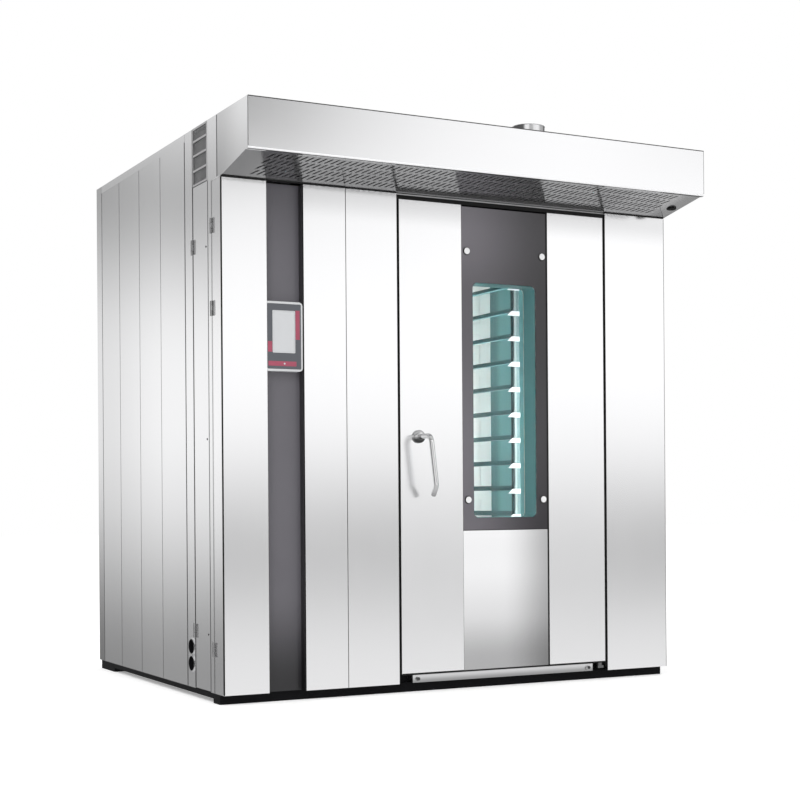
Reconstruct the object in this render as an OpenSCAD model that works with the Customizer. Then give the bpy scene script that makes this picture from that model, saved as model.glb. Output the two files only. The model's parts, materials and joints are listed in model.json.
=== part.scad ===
// Rotating rack oven: an insulated baking chamber with a full-height glazed door, a roll-in rack
// that turns on a driven turntable, a rear air plenum, a control door and an extraction hood.
// Sizes are millimetres. place() moves the working frame (left side, front face, floor) to the
// origin, which is the centre of the bounding box at floor level. The front looks along -Y.

/* [Cabinet] */
// Width over the side panels
body_w = 2000; // [1960:5:2100]
// Depth from the front panels to the rear panels
body_d = 1559; // [1540:1:1640]
// Height from the floor to the roof
body_h = 2168; // [2160:1:2260]
// Height of the black plinth
plinth_h = 37; // [32:1:45]
// How far the plinth stands back from the front panels
plinth_back = 43; // [20:1:60]
// Height of the top edge of the front panels
front_h = 1934; // [1930:1:1945]
// Thickness of the sheet steel
sheet = 2; // [1.5:0.5:2.5]
// Depth of the folded side, rear and roof panels
panel_t = 18; // [14:1:19]
// Depth of the folded front panels
front_t = 52; // [50:1:56]
// Open seam between neighbouring panels
seam = 2; // [1:0.5:3]

/* [Front] */
// Width of the control door
ctrl_w = 329; // [325:1:335]
// Width of the steel leaf left of the dark strip
ctrl_leaf_w = 180; // [170:1:185]
// Depth of the control door
ctrl_d = 87; // [80:1:92]
// How far the dark strip is set back
strip_back = 34; // [25:1:45]
// Width of the narrow fixed panel
narrow_w = 176; // [165:1:180]
// Width of the wide fixed panel
wide_w = 218; // [205:1:220]
// Gap on the latch side of the oven door
gap_latch = 11; // [10:0.5:14]
// Gap on the hinge side of the oven door
gap_hinge = 13; // [11:0.5:16]

/* [Oven door] */
// Width of the door leaf
door_w = 951; // [945:1:960]
// Height of the door leaf
door_h = 1839; // [1830:1:1842]
// Lower edge of the door above the floor
door_z = 74; // [72:1:78]
// Depth of the outer skins of the door
skin_d = 43; // [41:0.5:44]
// Total depth of the door leaf
door_t = 95; // [90:1:100]
// Width of the latch side stile
stile_w = 276; // [270:1:280]
// Width of the glass and of the panel below it
glass_w = 394; // [385:1:396]
// Thickness of the outer glass
glass_t = 6; // [5:0.5:8]
// Height of the steel panel below the glass
lower_h = 552; // [500:1:570]
// Width of the window
win_w = 293; // [260:1:300]
// Height of the window
win_h = 933; // [850:1:950]
// Lower edge of the window above the floor
win_z = 677; // [660:1:700]
// Corner radius of the window
win_r = 22; // [10:1:40]
// Radius of the door's pivot pins
pivot_r = 8; // [6:0.5:9]

/* [Handle] */
// Radius of the handle tube
tube_r = 10; // [8:0.5:11]
// How far the handle stands out from the door
handle_out = 101; // [90:1:110]
// Length of the lever along its fall
lever_l = 231; // [200:1:250]
// Height of the handle spindle above the floor
handle_z = 995; // [950:1:1050]
// Distance of the handle spindle from the door's free edge
handle_in = 79; // [76:1:95]
// How far the latch bolt shows past the door's edge
bolt_out = 5; // [3:0.5:5]

/* [Chamber] */
// Width of the baking chamber
cham_w = 1260; // [1240:1:1270]
// Depth of the baking chamber
cham_d = 1063; // [1050:1:1080]
// Height of the chamber floor
floor_z = 68; // [67:0.5:69]
// Height of the chamber ceiling
ceil_z = 1900; // [1895:1:1905]
// Depth of the air plenum behind the chamber
plenum_d = 160; // [155:1:170]
// Height of the circulation fan's axis
fan_z = 1500; // [1400:10:1600]
// Radius of the circulation fan wheel
fan_r = 190; // [150:5:200]

/* [Rack and drive] */
// Width of the rack over its posts
rack_w = 520; // [480:5:540]
// Length of the rack over its posts
rack_d = 740; // [700:5:760]
// Size of the rack's square tube
post = 25; // [20:1:30]
// Number of tray levels
levels = 15; // [8:1:15]
// Distance between tray levels
pitch = 108; // [90:1:108]
// Height of the lowest tray level
level_z = 248; // [246:1:252]
// Radius of the turntable
table_r = 480; // [470:1:482]
// Thickness of the turntable
table_t = 10; // [8:1:12]
// Distance of the turntable's centre behind the front face
rotor_y = 681; // [675:1:685]
// Radius of the caster wheels
wheel_r = 50; // [45:1:50]
// Teeth of the ring gear
gear_teeth = 48; // [48]
// Teeth of the pinion
pinion_teeth = 12; // [12]
// Module of the gears
gear_mod = 6; // [5.5:0.1:6.5]

/* [Hood] */
// How far the hood stands out in front of the cabinet
hood_out = 271; // [250:1:300]
// Height of the hood's front lower edge
hood_lip_z = 1982; // [1970:1:1990]
// Outer diameter of the exhaust collar
collar_d = 132; // [120:1:150]
// Height of the exhaust collar above the hood
collar_h = 67; // [60:1:120]
// Distance of the collar from the left side
collar_x = 1287; // [1200:1:1400]
// Distance between the slots in the hood's bottom
slot_step = 25; // [22:1:30]
// Length of a slot along the slope
slot_l = 43; // [30:1:46]
// Width of a slot
slot_w = 8.5; // [6:0.5:12]
// How far a slot's front end lies to the right of its rear end
slot_lean = 17; // [0:1:20]
// Radius of the service ports in the left side
port_r = 26; // [20:1:28]

/* [Hidden] */
$fn = 72;
tiny = 0.3;                 // seat gap between pieces that only touch
weld = 0.1;                 // joint line between plates and tubes that are welded together
run = 0.05;                 // radial clearance of a running fit
over = 1;                   // how far a cutter passes a face
steel = [0.80, 0.81, 0.82];
dull = [0.62, 0.63, 0.64];
black = [0.06, 0.06, 0.07];
anthracite = [0.20, 0.19, 0.21];
rubber = [0.08, 0.08, 0.08];
wool = [0.72, 0.66, 0.45];

// Front layout
door_x = ctrl_w + narrow_w + wide_w + gap_latch;
door_r = door_x + door_w;
right_x = door_r + gap_hinge;
door_top = door_z + door_h;
frame_y = front_t;                          // face that the door closes on
frame_d = 53;
chamber_y = frame_y + frame_d;
stile2_x = door_x + stile_w + seam + glass_w + 7;
glass_x = door_x + stile_w + 1;
glass_z = door_z + lower_h + seam;
glass_top = door_top - 5;
win_x = glass_x + glass_w / 2;
hinge_x = door_r - 21;                      // pivot axis of the oven door
hinge_y = 13;

// Doorway, plug and gasket
way_x = door_x + 26;
way_r = hinge_x - 14;
way_z = 84;
way_top = 1890;
jamb_w = 75;
header_b = chamber_y - 16;                  // back of the header over the doorway
plug = [way_x + 10, way_r - 10, way_z + 6, way_top - 10];   // left, right, bottom, top
seal_w = 12;
pane_edge = 14;                             // how far the inner pane laps the window's frame
seal = [way_x - 16, way_r + 13, 76, way_top + 14];

// Chamber and rotor
post_w = 79;
side_y = 383;                               // front edge of the side's cassette panels
side_w = [291, 272, 276];                   // widths of the first three; the last takes the rest
seams_y = [side_y, side_y + side_w[0], side_y + side_w[0] + side_w[1],
    side_y + side_w[0] + side_w[1] + side_w[2], body_d - post_w];
rotor_x = door_x + door_w / 2;
cham_x = rotor_x - cham_w / 2;
cham_r = cham_x + cham_w;
cham_b = chamber_y + cham_d;
plenum_b = cham_b + sheet + plenum_d;
deck_z = ceil_z + 104;
wool_x = ctrl_w + 101;                      // left edge of the wool and of the deck
wool_back = seams_y[4];                     // the fan motor stands out behind the wool
slots_z = floor_z + 132;                    // lowest air slot, and the lowest steam trough
table_z = floor_z + 3;
table_top = table_z + table_t;
shaft_r = 22;
rack_h = level_z + (levels - 1) * pitch + 70;   // top of the rack
rack_z = table_top + 2 * wheel_r + 22;          // underside of the rack frame
half_w = rack_w / 2;
half_d = rack_d / 2;
gear_z = deck_z + 26;
gear_t = 20;
gear_dx = gear_mod * (gear_teeth + pinion_teeth) / 2;
pressure = 25;

// Control door and hinges
ctrl_axis = [-4.5, ctrl_d + 1];
serv_y0 = 136;
serv_y1 = 289;
serv_top = 1943;
serv_axis = [-4.5, serv_y1 + 3];
column_y = serv_y1 + 6;
grille_t = 6;
knuckle_r = 4.2;
hinge_pin_r = 2.5;
hinge_h = 54;
ctrl_hinges = [173, 1436, 1742];
serv_hinges = [230, 1690];
rail_z = body_h - 30;
collar_y = -60;
lip_d = 18;                                 // depth of the flange under the hood's front
hood_back = 33;
hood_fan_r = 84;
port_y = 333;
port_z = [128, 193];
header_z = door_top + 3;                    // underside of the header over the door
header_top = header_z + 18;

// Steam duct from the chamber's roof to the hood, and the hood's fan
duct_x = [cham_r - 160, cham_r - 40];
duct_y = [200, 300];
duct_z = [body_h - 118, body_h - 38];
damper_y = hood_back + 97;
damper_z = (duct_z[0] + duct_z[1]) / 2;
hood_fan_z = body_h - 104;

// Handle
spindle = [door_x + handle_in, 0, handle_z];
lever_lean = 6.7;
bolt_z = handle_z - 30;
bolt_h = 18;

hinge_out = knuckle_r - ctrl_axis[0];      // the side hinges stand out this far
module place() translate([(hinge_out - body_w) / 2, (hood_out - body_d) / 2, 0]) children();
module box(lo, hi) translate(lo) cube(hi - lo);

// Shallow folded panel: a closed box of sheet, left open on the side that "open" points to
module tray(lo, hi, open) difference() {
    box(lo, hi);
    box([for (i = [0:2]) lo[i] + (open[i] < 0 ? -over : sheet)],
        [for (i = [0:2]) hi[i] - (open[i] > 0 ? -over : sheet)]);
}
// Cylinder along Y that starts at p
module ycyl(p, r, l) translate(p) rotate([-90, 0, 0]) cylinder(r = r, h = l);
module xcyl(p, r, l) translate(p) rotate([0, 90, 0]) cylinder(r = r, h = l);
module zcyl(p, r, l) translate(p) cylinder(r = r, h = l);
module round_rect(w, h, r) {
    square([w - 2 * r, h], center = true);
    square([w, h - 2 * r], center = true);
    for (x = [-1, 1], z = [-1, 1]) translate([x * (w / 2 - r), z * (h / 2 - r)]) circle(r);
}
// Upright block with the window's rounded outline, grown by g, between two depths
module window_block(g, y0, y1) translate([win_x, y1, win_z + win_h / 2]) rotate([90, 0, 0])
    linear_extrude(y1 - y0) round_rect(win_w + 2 * g, win_h + 2 * g, win_r + g);

// One half of a hinge: knuckles, tabs and a leaf. side is +1 for the fixed half, -1 for the
// moving half; a and b are the share of the height taken by the knuckle
module hinge_half(axis, z, side, spans) translate([axis[0], axis[1], z]) {
    for (s = spans) translate([0, 0, s[0]]) {
        difference() {
            union() {
                cylinder(r = knuckle_r, h = s[1] - s[0]);
                box([knuckle_r - 1.7, min(0, side * 6), 0],
                    [knuckle_r - tiny / 2, max(0, side * 6), s[1] - s[0]]);
            }
            translate([0, 0, -over]) cylinder(r = hinge_pin_r + run, h = hinge_h + 2 * over);
        }
    }
    box([knuckle_r - 1.7, min(side * 5, side * 24), 0],
        [knuckle_r - tiny / 2, max(side * 5, side * 24), hinge_h]);
}
module fixed_half(axis, z) {
    hinge_half(axis, z, 1, [[0, 17], [37, hinge_h]]);
    zcyl([axis[0], axis[1], z], hinge_pin_r, hinge_h);
}
module moving_half(axis, z) hinge_half(axis, z, -1, [[17.5, 36.5]]);

// Involute gear with its first tooth on +X
function inv(a) = tan(a) * 180 / PI - a;
function tooth_half(z, m, r) = 88.6 / z + inv(pressure)
    - inv(acos(min(1, m * z / 2 * cos(pressure) / r)));
function flank(z, m) = let (r0 = m * (z / 2 - 1.2), r1 = m * (z / 2 + 0.95))
    [for (i = [0:3]) r0 + (r1 - r0) * i / 3];
module gear(z, m, t, bore) linear_extrude(t) difference() {
    polygon([for (k = [0:z - 1], s = [-1, 1], i = [0:3])
        let (r = flank(z, m)[s < 0 ? i : 3 - i], a = 360 * k / z + s * tooth_half(z, m, r))
        r * [cos(a), sin(a)]]);
    circle(bore);
}

/* ---- Cabinet ---- */
module base_plinth() color(black) place() {
    foot_h = 17;
    back = body_d - 29;
    box([1, plinth_back, foot_h + weld], [body_w - 1, back, plinth_h]);
    box([1, plinth_back, 0], [body_w - 1, plinth_back + 67, foot_h]);
    box([1, back - 190, 0], [body_w - 1, back, foot_h]);
}
module corner_posts() color(steel) place() {
    y0 = seams_y[4] + seam;
    top = rail_z + weld;
    for (x = [0, body_w - post_w]) tray([x, y0, plinth_h], [x + post_w, body_d, rail_z],
        [x == 0 ? 1 : -1, 0, 0]);
    for (x = [0, body_w - panel_t]) box([x, seams_y[0], top], [x + panel_t, body_d, body_h]);
    box([panel_t + weld, body_d - panel_t, top], [body_w - panel_t - weld, body_d, body_h]);
}
// Cassette panels of both sides, the hinge column and the strips beside the control door
module side_panels() color(steel) place() {
    for (i = [0:3]) {
        y0 = seams_y[i] + (i == 0 ? 0 : seam);
        tray([0, y0, plinth_h], [panel_t, seams_y[i + 1], rail_z], [1, 0, 0]);
        tray([body_w - panel_t, y0, plinth_h], [body_w, seams_y[i + 1], rail_z], [-1, 0, 0]);
    }
    difference() {
        tray([0, column_y, plinth_h], [panel_t, seams_y[0] - seam, body_h], [1, 0, 0]);
        for (z = port_z) xcyl([-over, port_y, z], port_r + 3, panel_t);
    }
    tray([body_w - panel_t, 92, plinth_h], [body_w, seams_y[0] - seam, body_h], [-1, 0, 0]);
    tray([body_w - panel_t, hood_back + seam, front_h + 5], [body_w, 90, body_h], [-1, 0, 0]);
    // strip beside the control door, its stiffening flange and the edge that meets the roof
    box([0, ctrl_d + 2, plinth_h], [sheet, serv_y0 - seam, body_h]);
    box([sheet, ctrl_d + 12, plinth_h], [45, ctrl_d + 14, body_h - panel_t - tiny]);
    box([0, hood_back + seam, front_h + 5], [sheet, ctrl_d + 2, body_h]);
    box([sheet, hood_back + seam, body_h - sheet], [panel_t, serv_y0 - seam, body_h]);
    box([grille_t + weld, serv_y0 - seam, body_h - sheet], [panel_t, column_y - tiny, body_h]);
}
module rear_panels() color(steel) place() {
    x0 = post_w + seam;
    w = (body_w - 2 * x0) / 4;
    for (i = [0:3]) tray([x0 + i * w + (i == 0 ? 0 : seam), body_d - panel_t, plinth_h],
        [x0 + (i + 1) * w, body_d, rail_z], [0, -1, 0]);
}
module roof_panels() color(steel) place() {
    w = (body_w - 2 * panel_t) / 3;
    for (i = [0:2]) tray([panel_t + i * w + (i == 0 ? tiny : seam), hood_back + seam, body_h - panel_t],
        [panel_t + (i + 1) * w - tiny, body_d - panel_t - tiny, body_h], [0, 0, -1]);
}
module side_grille() color(dull) place() {
    z0 = serv_top + 3;
    z1 = body_h;
    bars = [z0, z0 + 54, z0 + 112, z0 + 167, z1 - 8];
    for (z = bars) box([0, serv_y0, z], [grille_t, serv_y1 + 4, z + 8]);
    for (y = [serv_y0, serv_y1 - 4]) box([0, y, z0], [grille_t, y + 8, z1]);
    for (y = [serv_y0 + 16:12:serv_y1 - 8]) box([3, y, z0 + 4], [5, y + 3, z1 - 4]);
}
module front_panels() color(steel) place() {
    tray([ctrl_w + 1, 0, plinth_h], [ctrl_w + narrow_w - 1, front_t, front_h], [0, 1, 0]);
    tray([ctrl_w + narrow_w, 0, plinth_h], [door_x - gap_latch, front_t, front_h], [0, 1, 0]);
    tray([right_x, 0, plinth_h], [body_w, front_t, front_h], [0, 1, 0]);
    box([body_w - sheet, front_t, plinth_h], [body_w, 90, front_h]);
}
// Posts, header and sill that carry the front panels and frame the doorway
module front_frame() color(black) place() {
    y = [frame_y, chamber_y];
    top = way_top - weld;
    for (x = [[ctrl_w + 3, ctrl_w + 60], [way_x - jamb_w, way_x], [way_r, way_r + jamb_w]])
        box([x[0], y[0], plinth_h], [x[1], y[1], top]);
    box([body_w - 90, y[0], plinth_h], [body_w - sheet - tiny, header_b, top]);
    box([ctrl_w + 3, y[0], way_top], [body_w - sheet - tiny, header_b, header_top]);
    box([door_x + 2, 32, header_z], [door_r + 11, y[0] - weld, header_top]);
    box([way_x + weld, y[0], plinth_h], [way_r - weld, y[1], way_z]);
}
module service_ports() color(rubber) place() for (z = port_z) difference() {
    union() {
        xcyl([0, port_y, z], port_r + 3 - run, 30);
        xcyl([-4, port_y, z], port_r + 6, 4);
    }
    xcyl([-5, port_y, z], port_r, 40);
}

/* ---- Chamber ---- */
module chamber_floor() color(dull) place() {
    difference() {
        box([cham_x, chamber_y + tiny, floor_z - 4], [cham_r, plenum_b, floor_z]);
        zcyl([rotor_x, rotor_y, 0], 42, 100);
    }
    // thrust boss of the turntable
    zcyl([rotor_x, rotor_y, plinth_h], 41, floor_z - plinth_h);
    zcyl([rotor_x, rotor_y, floor_z], 60, table_z - tiny - floor_z);
    zcyl([rotor_x, rotor_y, floor_z], 20, table_top - 2 - floor_z);
}
module chamber_walls() color(steel) place() {
    for (x = [cham_x - sheet, cham_r]) box([x, chamber_y, floor_z - 4],
        [x + sheet, plenum_b + sheet, ceil_z - weld]);
    difference() {
        box([cham_x - sheet, chamber_y, ceil_z], [cham_r + sheet, plenum_b + sheet, ceil_z + sheet]);
        zcyl([rotor_x, rotor_y, 0], shaft_r + 3, body_h);
        box([duct_x[0], duct_y[0], 0], [duct_x[1], duct_y[1], body_h]);
    }
    difference() {
        box([cham_x + weld, plenum_b, floor_z - 4], [cham_r - weld, plenum_b + sheet, ceil_z - weld]);
        ycyl([rotor_x, 0, fan_z], 16, body_d);
    }
    // upper edge between the chamber and the header of the front frame, and the two front wings
    front = chamber_y - weld;
    box([cham_x - sheet, header_b + tiny, way_top + 2], [cham_r + sheet, front, ceil_z + sheet]);
    for (x = [[cham_x - sheet, way_x - jamb_w - tiny], [way_r + jamb_w + tiny, cham_r + sheet]])
        box([x[0], front - sheet, floor_z - 4], [x[1], front, way_top + 2 - weld]);
}
// Wall between the chamber and the plenum: fan inlet and slots for the hot air
module rear_air_wall() color(steel) place() difference() {
    box([cham_x, cham_b, floor_z], [cham_r, cham_b + sheet, ceil_z]);
    ycyl([rotor_x, cham_b - over, fan_z], fan_r - 40, 10);
    for (x = [cham_x + 60, cham_r - 100], z = [slots_z:200:ceil_z - 200])
        box([x, cham_b - over, z], [x + 40, cham_b + 5, z + 150]);
}
module duct_hole() box([duct_x[0] - 4, duct_y[0] - 4, 0], [duct_x[1] + 4, duct_y[1] + 4, body_h]);
module insulation() color(wool) place() {
    side_x = [wool_x, body_w - panel_t - seam];
    gap = seam;
    for (x = [[side_x[0], cham_x - sheet - gap], [cham_r + sheet + gap, side_x[1]]])
        box([x[0], chamber_y + tiny, plinth_h + tiny], [x[1], wool_back, ceil_z]);
    difference() {
        box([cham_x - sheet, plenum_b + sheet + gap, plinth_h + tiny],
            [cham_r + sheet, wool_back, ceil_z]);
        box([rotor_x - 110, 0, fan_z - 110], [rotor_x + 110, body_d, fan_z + 110]);
    }
    difference() {
        box([side_x[0], chamber_y + tiny, ceil_z + sheet + tiny], [side_x[1], wool_back, deck_z - tiny]);
        zcyl([rotor_x, rotor_y, 0], shaft_r + 3, body_h);
        duct_hole();
    }
    difference() {
        box([cham_x, chamber_y + tiny, plinth_h + tiny], [cham_r, plenum_b, floor_z - 4 - tiny]);
        zcyl([rotor_x, rotor_y, 0], 42, 100);
    }
}
module top_deck() color(dull) place() difference() {
    box([wool_x, chamber_y, deck_z], [body_w - panel_t - tiny, wool_back, deck_z + 4]);
    zcyl([rotor_x, rotor_y, 0], shaft_r + 3, body_h);
    duct_hole();
}
// Hairpin heating elements, flanged to the left wall of the plenum
module heater_bank() color(dull) place() {
    y = cham_b + sheet + 60;
    x0 = cham_x + tiny;
    bend = 30;
    reach = cham_w - 360;
    for (i = [0:6]) {
        z = slots_z + 10 + i * 140;
        for (s = [-bend, bend]) xcyl([x0, y, z + s], 5, reach);
        translate([x0 + reach, y, z]) rotate([90, 0, 0]) rotate([0, 0, -90])
            rotate_extrude(angle = 180) translate([bend, 0]) circle(5);
        box([x0, y - 20, z - bend - 20], [x0 + 4, y + 20, z + bend + 20]);
    }
}
// Motor of the circulation fan, and the hood fan's motor on its bridge
module fan_motors() color([0.25, 0.35, 0.45]) place() {
    y0 = plenum_b + sheet + tiny;
    difference() {
        union() {
            ycyl([rotor_x, y0, fan_z], 100, 12);
            ycyl([rotor_x, y0 + 12, fan_z], 80, 150);
            box([rotor_x + 60, y0 + 40, fan_z - 35], [rotor_x + 105, y0 + 120, fan_z + 35]);
        }
        ycyl([rotor_x, y0 - over, fan_z], 12 + run, 60);
    }
    difference() {
        union() {
            zcyl([collar_x, collar_y, hood_fan_z - 64], 45, 60);
            box([collar_x - 20, collar_y, hood_fan_z - 54],
                [collar_x + 20, hood_back - sheet, hood_fan_z - 34]);
        }
        zcyl([collar_x, collar_y, hood_fan_z - 44], 6 + run, 50);
    }
}
module chamber_lamp() color([0.9, 0.9, 0.85]) place() {
    x1 = cham_r - tiny;
    z = [500, 1500];
    box([x1 - 12, chamber_y + 40, z[0]], [x1, chamber_y + 110, z[1]]);
    box([x1 - 30, chamber_y + 50, z[0] + 20], [x1 - 12, chamber_y + 100, z[1] - 20]);
}
// Water troughs that flash to steam, with their feed pipe
module steam_generator() color(dull) place() {
    x = [cham_r - 290, cham_r - 20];
    y = [cham_b + sheet + 40, plenum_b - 20];
    top = fan_z - 200;
    for (z = [slots_z:130:top - 60]) difference() {
        box([x[0], y[0], z], [x[1], y[1], z + 40]);
        box([x[0] + 4, y[0] + 4, z + 4], [x[1] - 4, y[1] - 4, z + 41]);
    }
    for (xx = [x[0] - 6, x[1]]) box([xx, y[0], floor_z], [xx + 6, y[1], top]);
    zcyl([x[0] + 60, (y[0] + y[1]) / 2, top - 10], 8, ceil_z - top + 10 - tiny);
}
// Duct that takes steam from the chamber to the hood
module vent_duct() color(dull) place() {
    x = duct_x;
    y = duct_y;
    z = duct_z;
    difference() {
        union() {
            box([x[0], y[0], ceil_z + sheet + tiny], [x[1], y[1], z[1]]);
            box([x[0], hood_back + tiny, z[0]], [x[1], y[0], z[1]]);
        }
        box([x[0] + sheet, y[0] + sheet, ceil_z], [x[1] - sheet, y[1] - sheet, z[1] - sheet]);
        box([x[0] + sheet, 0, z[0] + sheet], [x[1] - sheet, y[0] + 50, z[1] - sheet]);
        xcyl([x[0] - over, damper_y, damper_z], 4 + run, x[1] - x[0] + 2 * over);
    }
}
module vent_damper() color(steel) place() {
    x = duct_x;
    half = (duct_z[1] - duct_z[0]) / 2 - 6;
    xcyl([x[0] - 8, damper_y, damper_z], 4, x[1] - x[0] + 16);
    box([x[0] + 4, damper_y - 1, damper_z - half], [x[1] - 4, damper_y + 1, damper_z + half]);
    box([x[0] - 8, damper_y - 6, damper_z - 30], [x[0] - 4, damper_y + 6, damper_z]);
}

/* ---- Doorway fittings ---- */
module threshold_bar() color(steel) place() {
    x = [door_x + 54, door_r - 54];
    box([x[0], 14, plinth_h + tiny], [x[1], frame_y, plinth_h + 30]);
    for (s = [x[0] + 24, x[1] - 28]) ycyl([s, 8, plinth_h + 13], 7, 6);
}
// Pivots of the oven door and the fixed hinge halves of the two service doors
module frame_hinges() color(dull) place() {
    box([hinge_x - 14, 3, 48], [hinge_x + 14, frame_y, 58]);
    zcyl([hinge_x, hinge_y, 58], 12, door_z - tiny - 58);
    zcyl([hinge_x, hinge_y, 58], pivot_r, 40);
    box([hinge_x - 14, 3, header_z + tiny], [hinge_x + 14, 32, header_z + 10]);
    zcyl([hinge_x, hinge_y, door_top - 24], pivot_r, header_z + tiny + 24 - door_top);
    for (z = ctrl_hinges) fixed_half(ctrl_axis, z);
    for (z = serv_hinges) fixed_half(serv_axis, z);
}
module latch_keeper() color(dull) place()
    box([door_x - gap_latch, 14, bolt_z - 30], [door_x - gap_latch + 4, 46, bolt_z + 45]);
// Contactors, rails and wiring trunks on a mounting plate behind the control door
module switchgear() color([0.75, 0.75, 0.73]) place() {
    x = [40, wool_x - 30];
    y = side_y + 37;
    top = ceil_z - 50;
    step = (x[1] - x[0] - 48) / 6;
    box([x[0], y, plinth_h], [x[1], y + 3, top]);
    for (z = [420:300:top - 200]) {
        box([x[0] + 20, y - 10, z], [x[1] - 20, y, z + 35]);
        for (i = [0:5]) box([x[0] + 26 + i * step, y - 80, z - 30],
            [x[0] + 18 + (i + 1) * step, y - 10, z + 65]);
        box([x[0] + 20, y - 50, z + 130], [x[1] - 20, y, z + 180]);
    }
    box([x[0] + 50, y - 110, plinth_h + 83], [x[1] - 70, y, plinth_h + 263]);
}

/* ---- Hood ---- */
module hood_fascia() color(steel) place() {
    y0 = -hood_out;
    box([0, y0, hood_lip_z], [body_w, y0 + sheet, body_h]);
    box([0, y0 + sheet, hood_lip_z], [body_w, y0 + sheet + lip_d, hood_lip_z + sheet]);
}
module hood_shell() color(steel) place() {
    y0 = -hood_out + sheet;
    y1 = hood_back;
    for (x = [0, body_w - sheet]) translate([x, 0, 0]) rotate([90, 0, 90]) linear_extrude(sheet)
        polygon([[y0, body_h], [y0, hood_lip_z + sheet + weld],
            [y0 + lip_d, hood_lip_z + sheet + weld],
            [0, front_h + 3], [y1, front_h + 3], [y1, body_h]]);
    difference() {
        box([sheet + weld, y0, body_h - sheet], [body_w - sheet - weld, y1, body_h]);
        zcyl([collar_x, collar_y, 0], collar_d / 2 - 2, body_h + 10);
    }
    // rear plates, welded round the mouth of the steam duct
    low = front_h + tiny;
    high = body_h - sheet - weld;
    mouth = [duct_x[0] + sheet, duct_x[1] - sheet];
    for (x = [[sheet + weld, mouth[0]], [mouth[1], body_w - sheet - weld]])
        box([x[0], y1 - sheet, low], [x[1], y1, high]);
    for (z = [[low, duct_z[0] + sheet], [duct_z[1] - sheet, high]])
        box([mouth[0] + weld, y1 - sheet, z[0]], [mouth[1] - weld, y1, z[1]]);
}
// Sloping bottom of the hood, from its front edge on the fascia's flange to the front panels.
// slope() puts the origin at that front edge, with Y along the slope
under_edge = hood_out - lip_d - sheet;
under_angle = atan((hood_lip_z + sheet + tiny - front_h - 4) / under_edge);
under_len = (hood_out - 5) / cos(under_angle);
slot_n = floor((body_w - 200) / slot_step);     // slots in a row
slot_rows = 4;
slot_x0 = (body_w - (slot_n - 1) * slot_step) / 2;
row_step = 53;
row_v = [for (j = [0:slot_rows - 1]) 51 + j * row_step];    // middle of each row along the slope
filter_n = 5;
filter_t = 10;
filter_x0 = slot_x0 - slot_step;
filter_w = (body_w - 2 * filter_x0) / filter_n;
module slope() translate([0, -under_edge, hood_lip_z + sheet + tiny])
    rotate([-under_angle, 0, 0]) translate([0, (4 - lip_d + sheet) / cos(under_angle), 0]) children();
// Outline of a slot with narrowed ends, leaning to the right at its front end
module slot_shape() polygon([for (q = [[-1, -1], [-1, 1], [-0.84, 2], [0.84, 2],
    [1, 1], [1, -1], [0.84, -2], [-0.84, -2]])
    [-q[0] * slot_lean / 2 + q[1] * slot_w / 4, q[0] * slot_l / 2]]);
module hood_underside() color(dull) place() slope() linear_extrude(sheet) difference() {
    translate([sheet + tiny, 0]) square([body_w - 2 * (sheet + tiny), under_len]);
    for (i = [0:slot_n - 1], v = row_v) translate([slot_x0 + i * slot_step, v]) slot_shape();
}
// Grease filters: shallow trays over the slots, with their own coarse slots on top
module hood_filters() color(dull) place() slope() for (i = [0:filter_n - 1]) difference() {
    x0 = filter_x0 + i * filter_w + 2;
    x1 = x0 + filter_w - 4;
    z0 = sheet + tiny / 3;
    tray([x0, 8, z0], [x1, under_len - 8, z0 + filter_t], [0, 0, -1]);
    for (x = [x0 + 20:30:x1 - 30], j = [0:2]) box([x, 22 + j * 75, z0 + 1],
        [x + 10, 82 + j * 75, z0 + filter_t + over]);
}
module exhaust_collar() color(dull) place() difference() {
    union() {
        zcyl([collar_x, collar_y, body_h], collar_d / 2, collar_h);
        zcyl([collar_x, collar_y, body_h], collar_d / 2 + 16, 2);
    }
    zcyl([collar_x, collar_y, body_h - over], collar_d / 2 - 2, collar_h + 2 * over);
}
module fan_blades(n, r0, r1, h) for (i = [0:n - 1]) rotate([0, 0, i * 360 / n])
    translate([r0, 0, 0]) rotate([0, 0, 35]) translate([0, -1, 0]) cube([r1 - r0, 2, h]);
module hood_fan() color(dull) place() translate([collar_x, collar_y, hood_fan_z]) {
    difference() {
        cylinder(r = hood_fan_r, h = 2);
        translate([0, 0, -over]) cylinder(r = 5, h = 4);
    }
    fan_blades(16, hood_fan_r - 32, hood_fan_r, 50);
    translate([0, 0, -34]) cylinder(r = 6, h = 60);
    translate([0, 0, 2]) cylinder(r = 18, h = 20);
}
module circulation_fan() color(dull) place() translate([rotor_x, plenum_b - 30, fan_z])
    rotate([90, 0, 0]) {
        cylinder(r = fan_r - 8, h = 3);
        fan_blades(18, fan_r - 65, fan_r - 5, 85);
        translate([0, 0, 84]) difference() {
            cylinder(r = fan_r - 6, h = 3);
            translate([0, 0, -over]) cylinder(r = fan_r - 70, h = 5);
        }
        translate([0, 0, -86]) cylinder(r = 12, h = 130);
        cylinder(r = 30, h = 36);
    }

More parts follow.
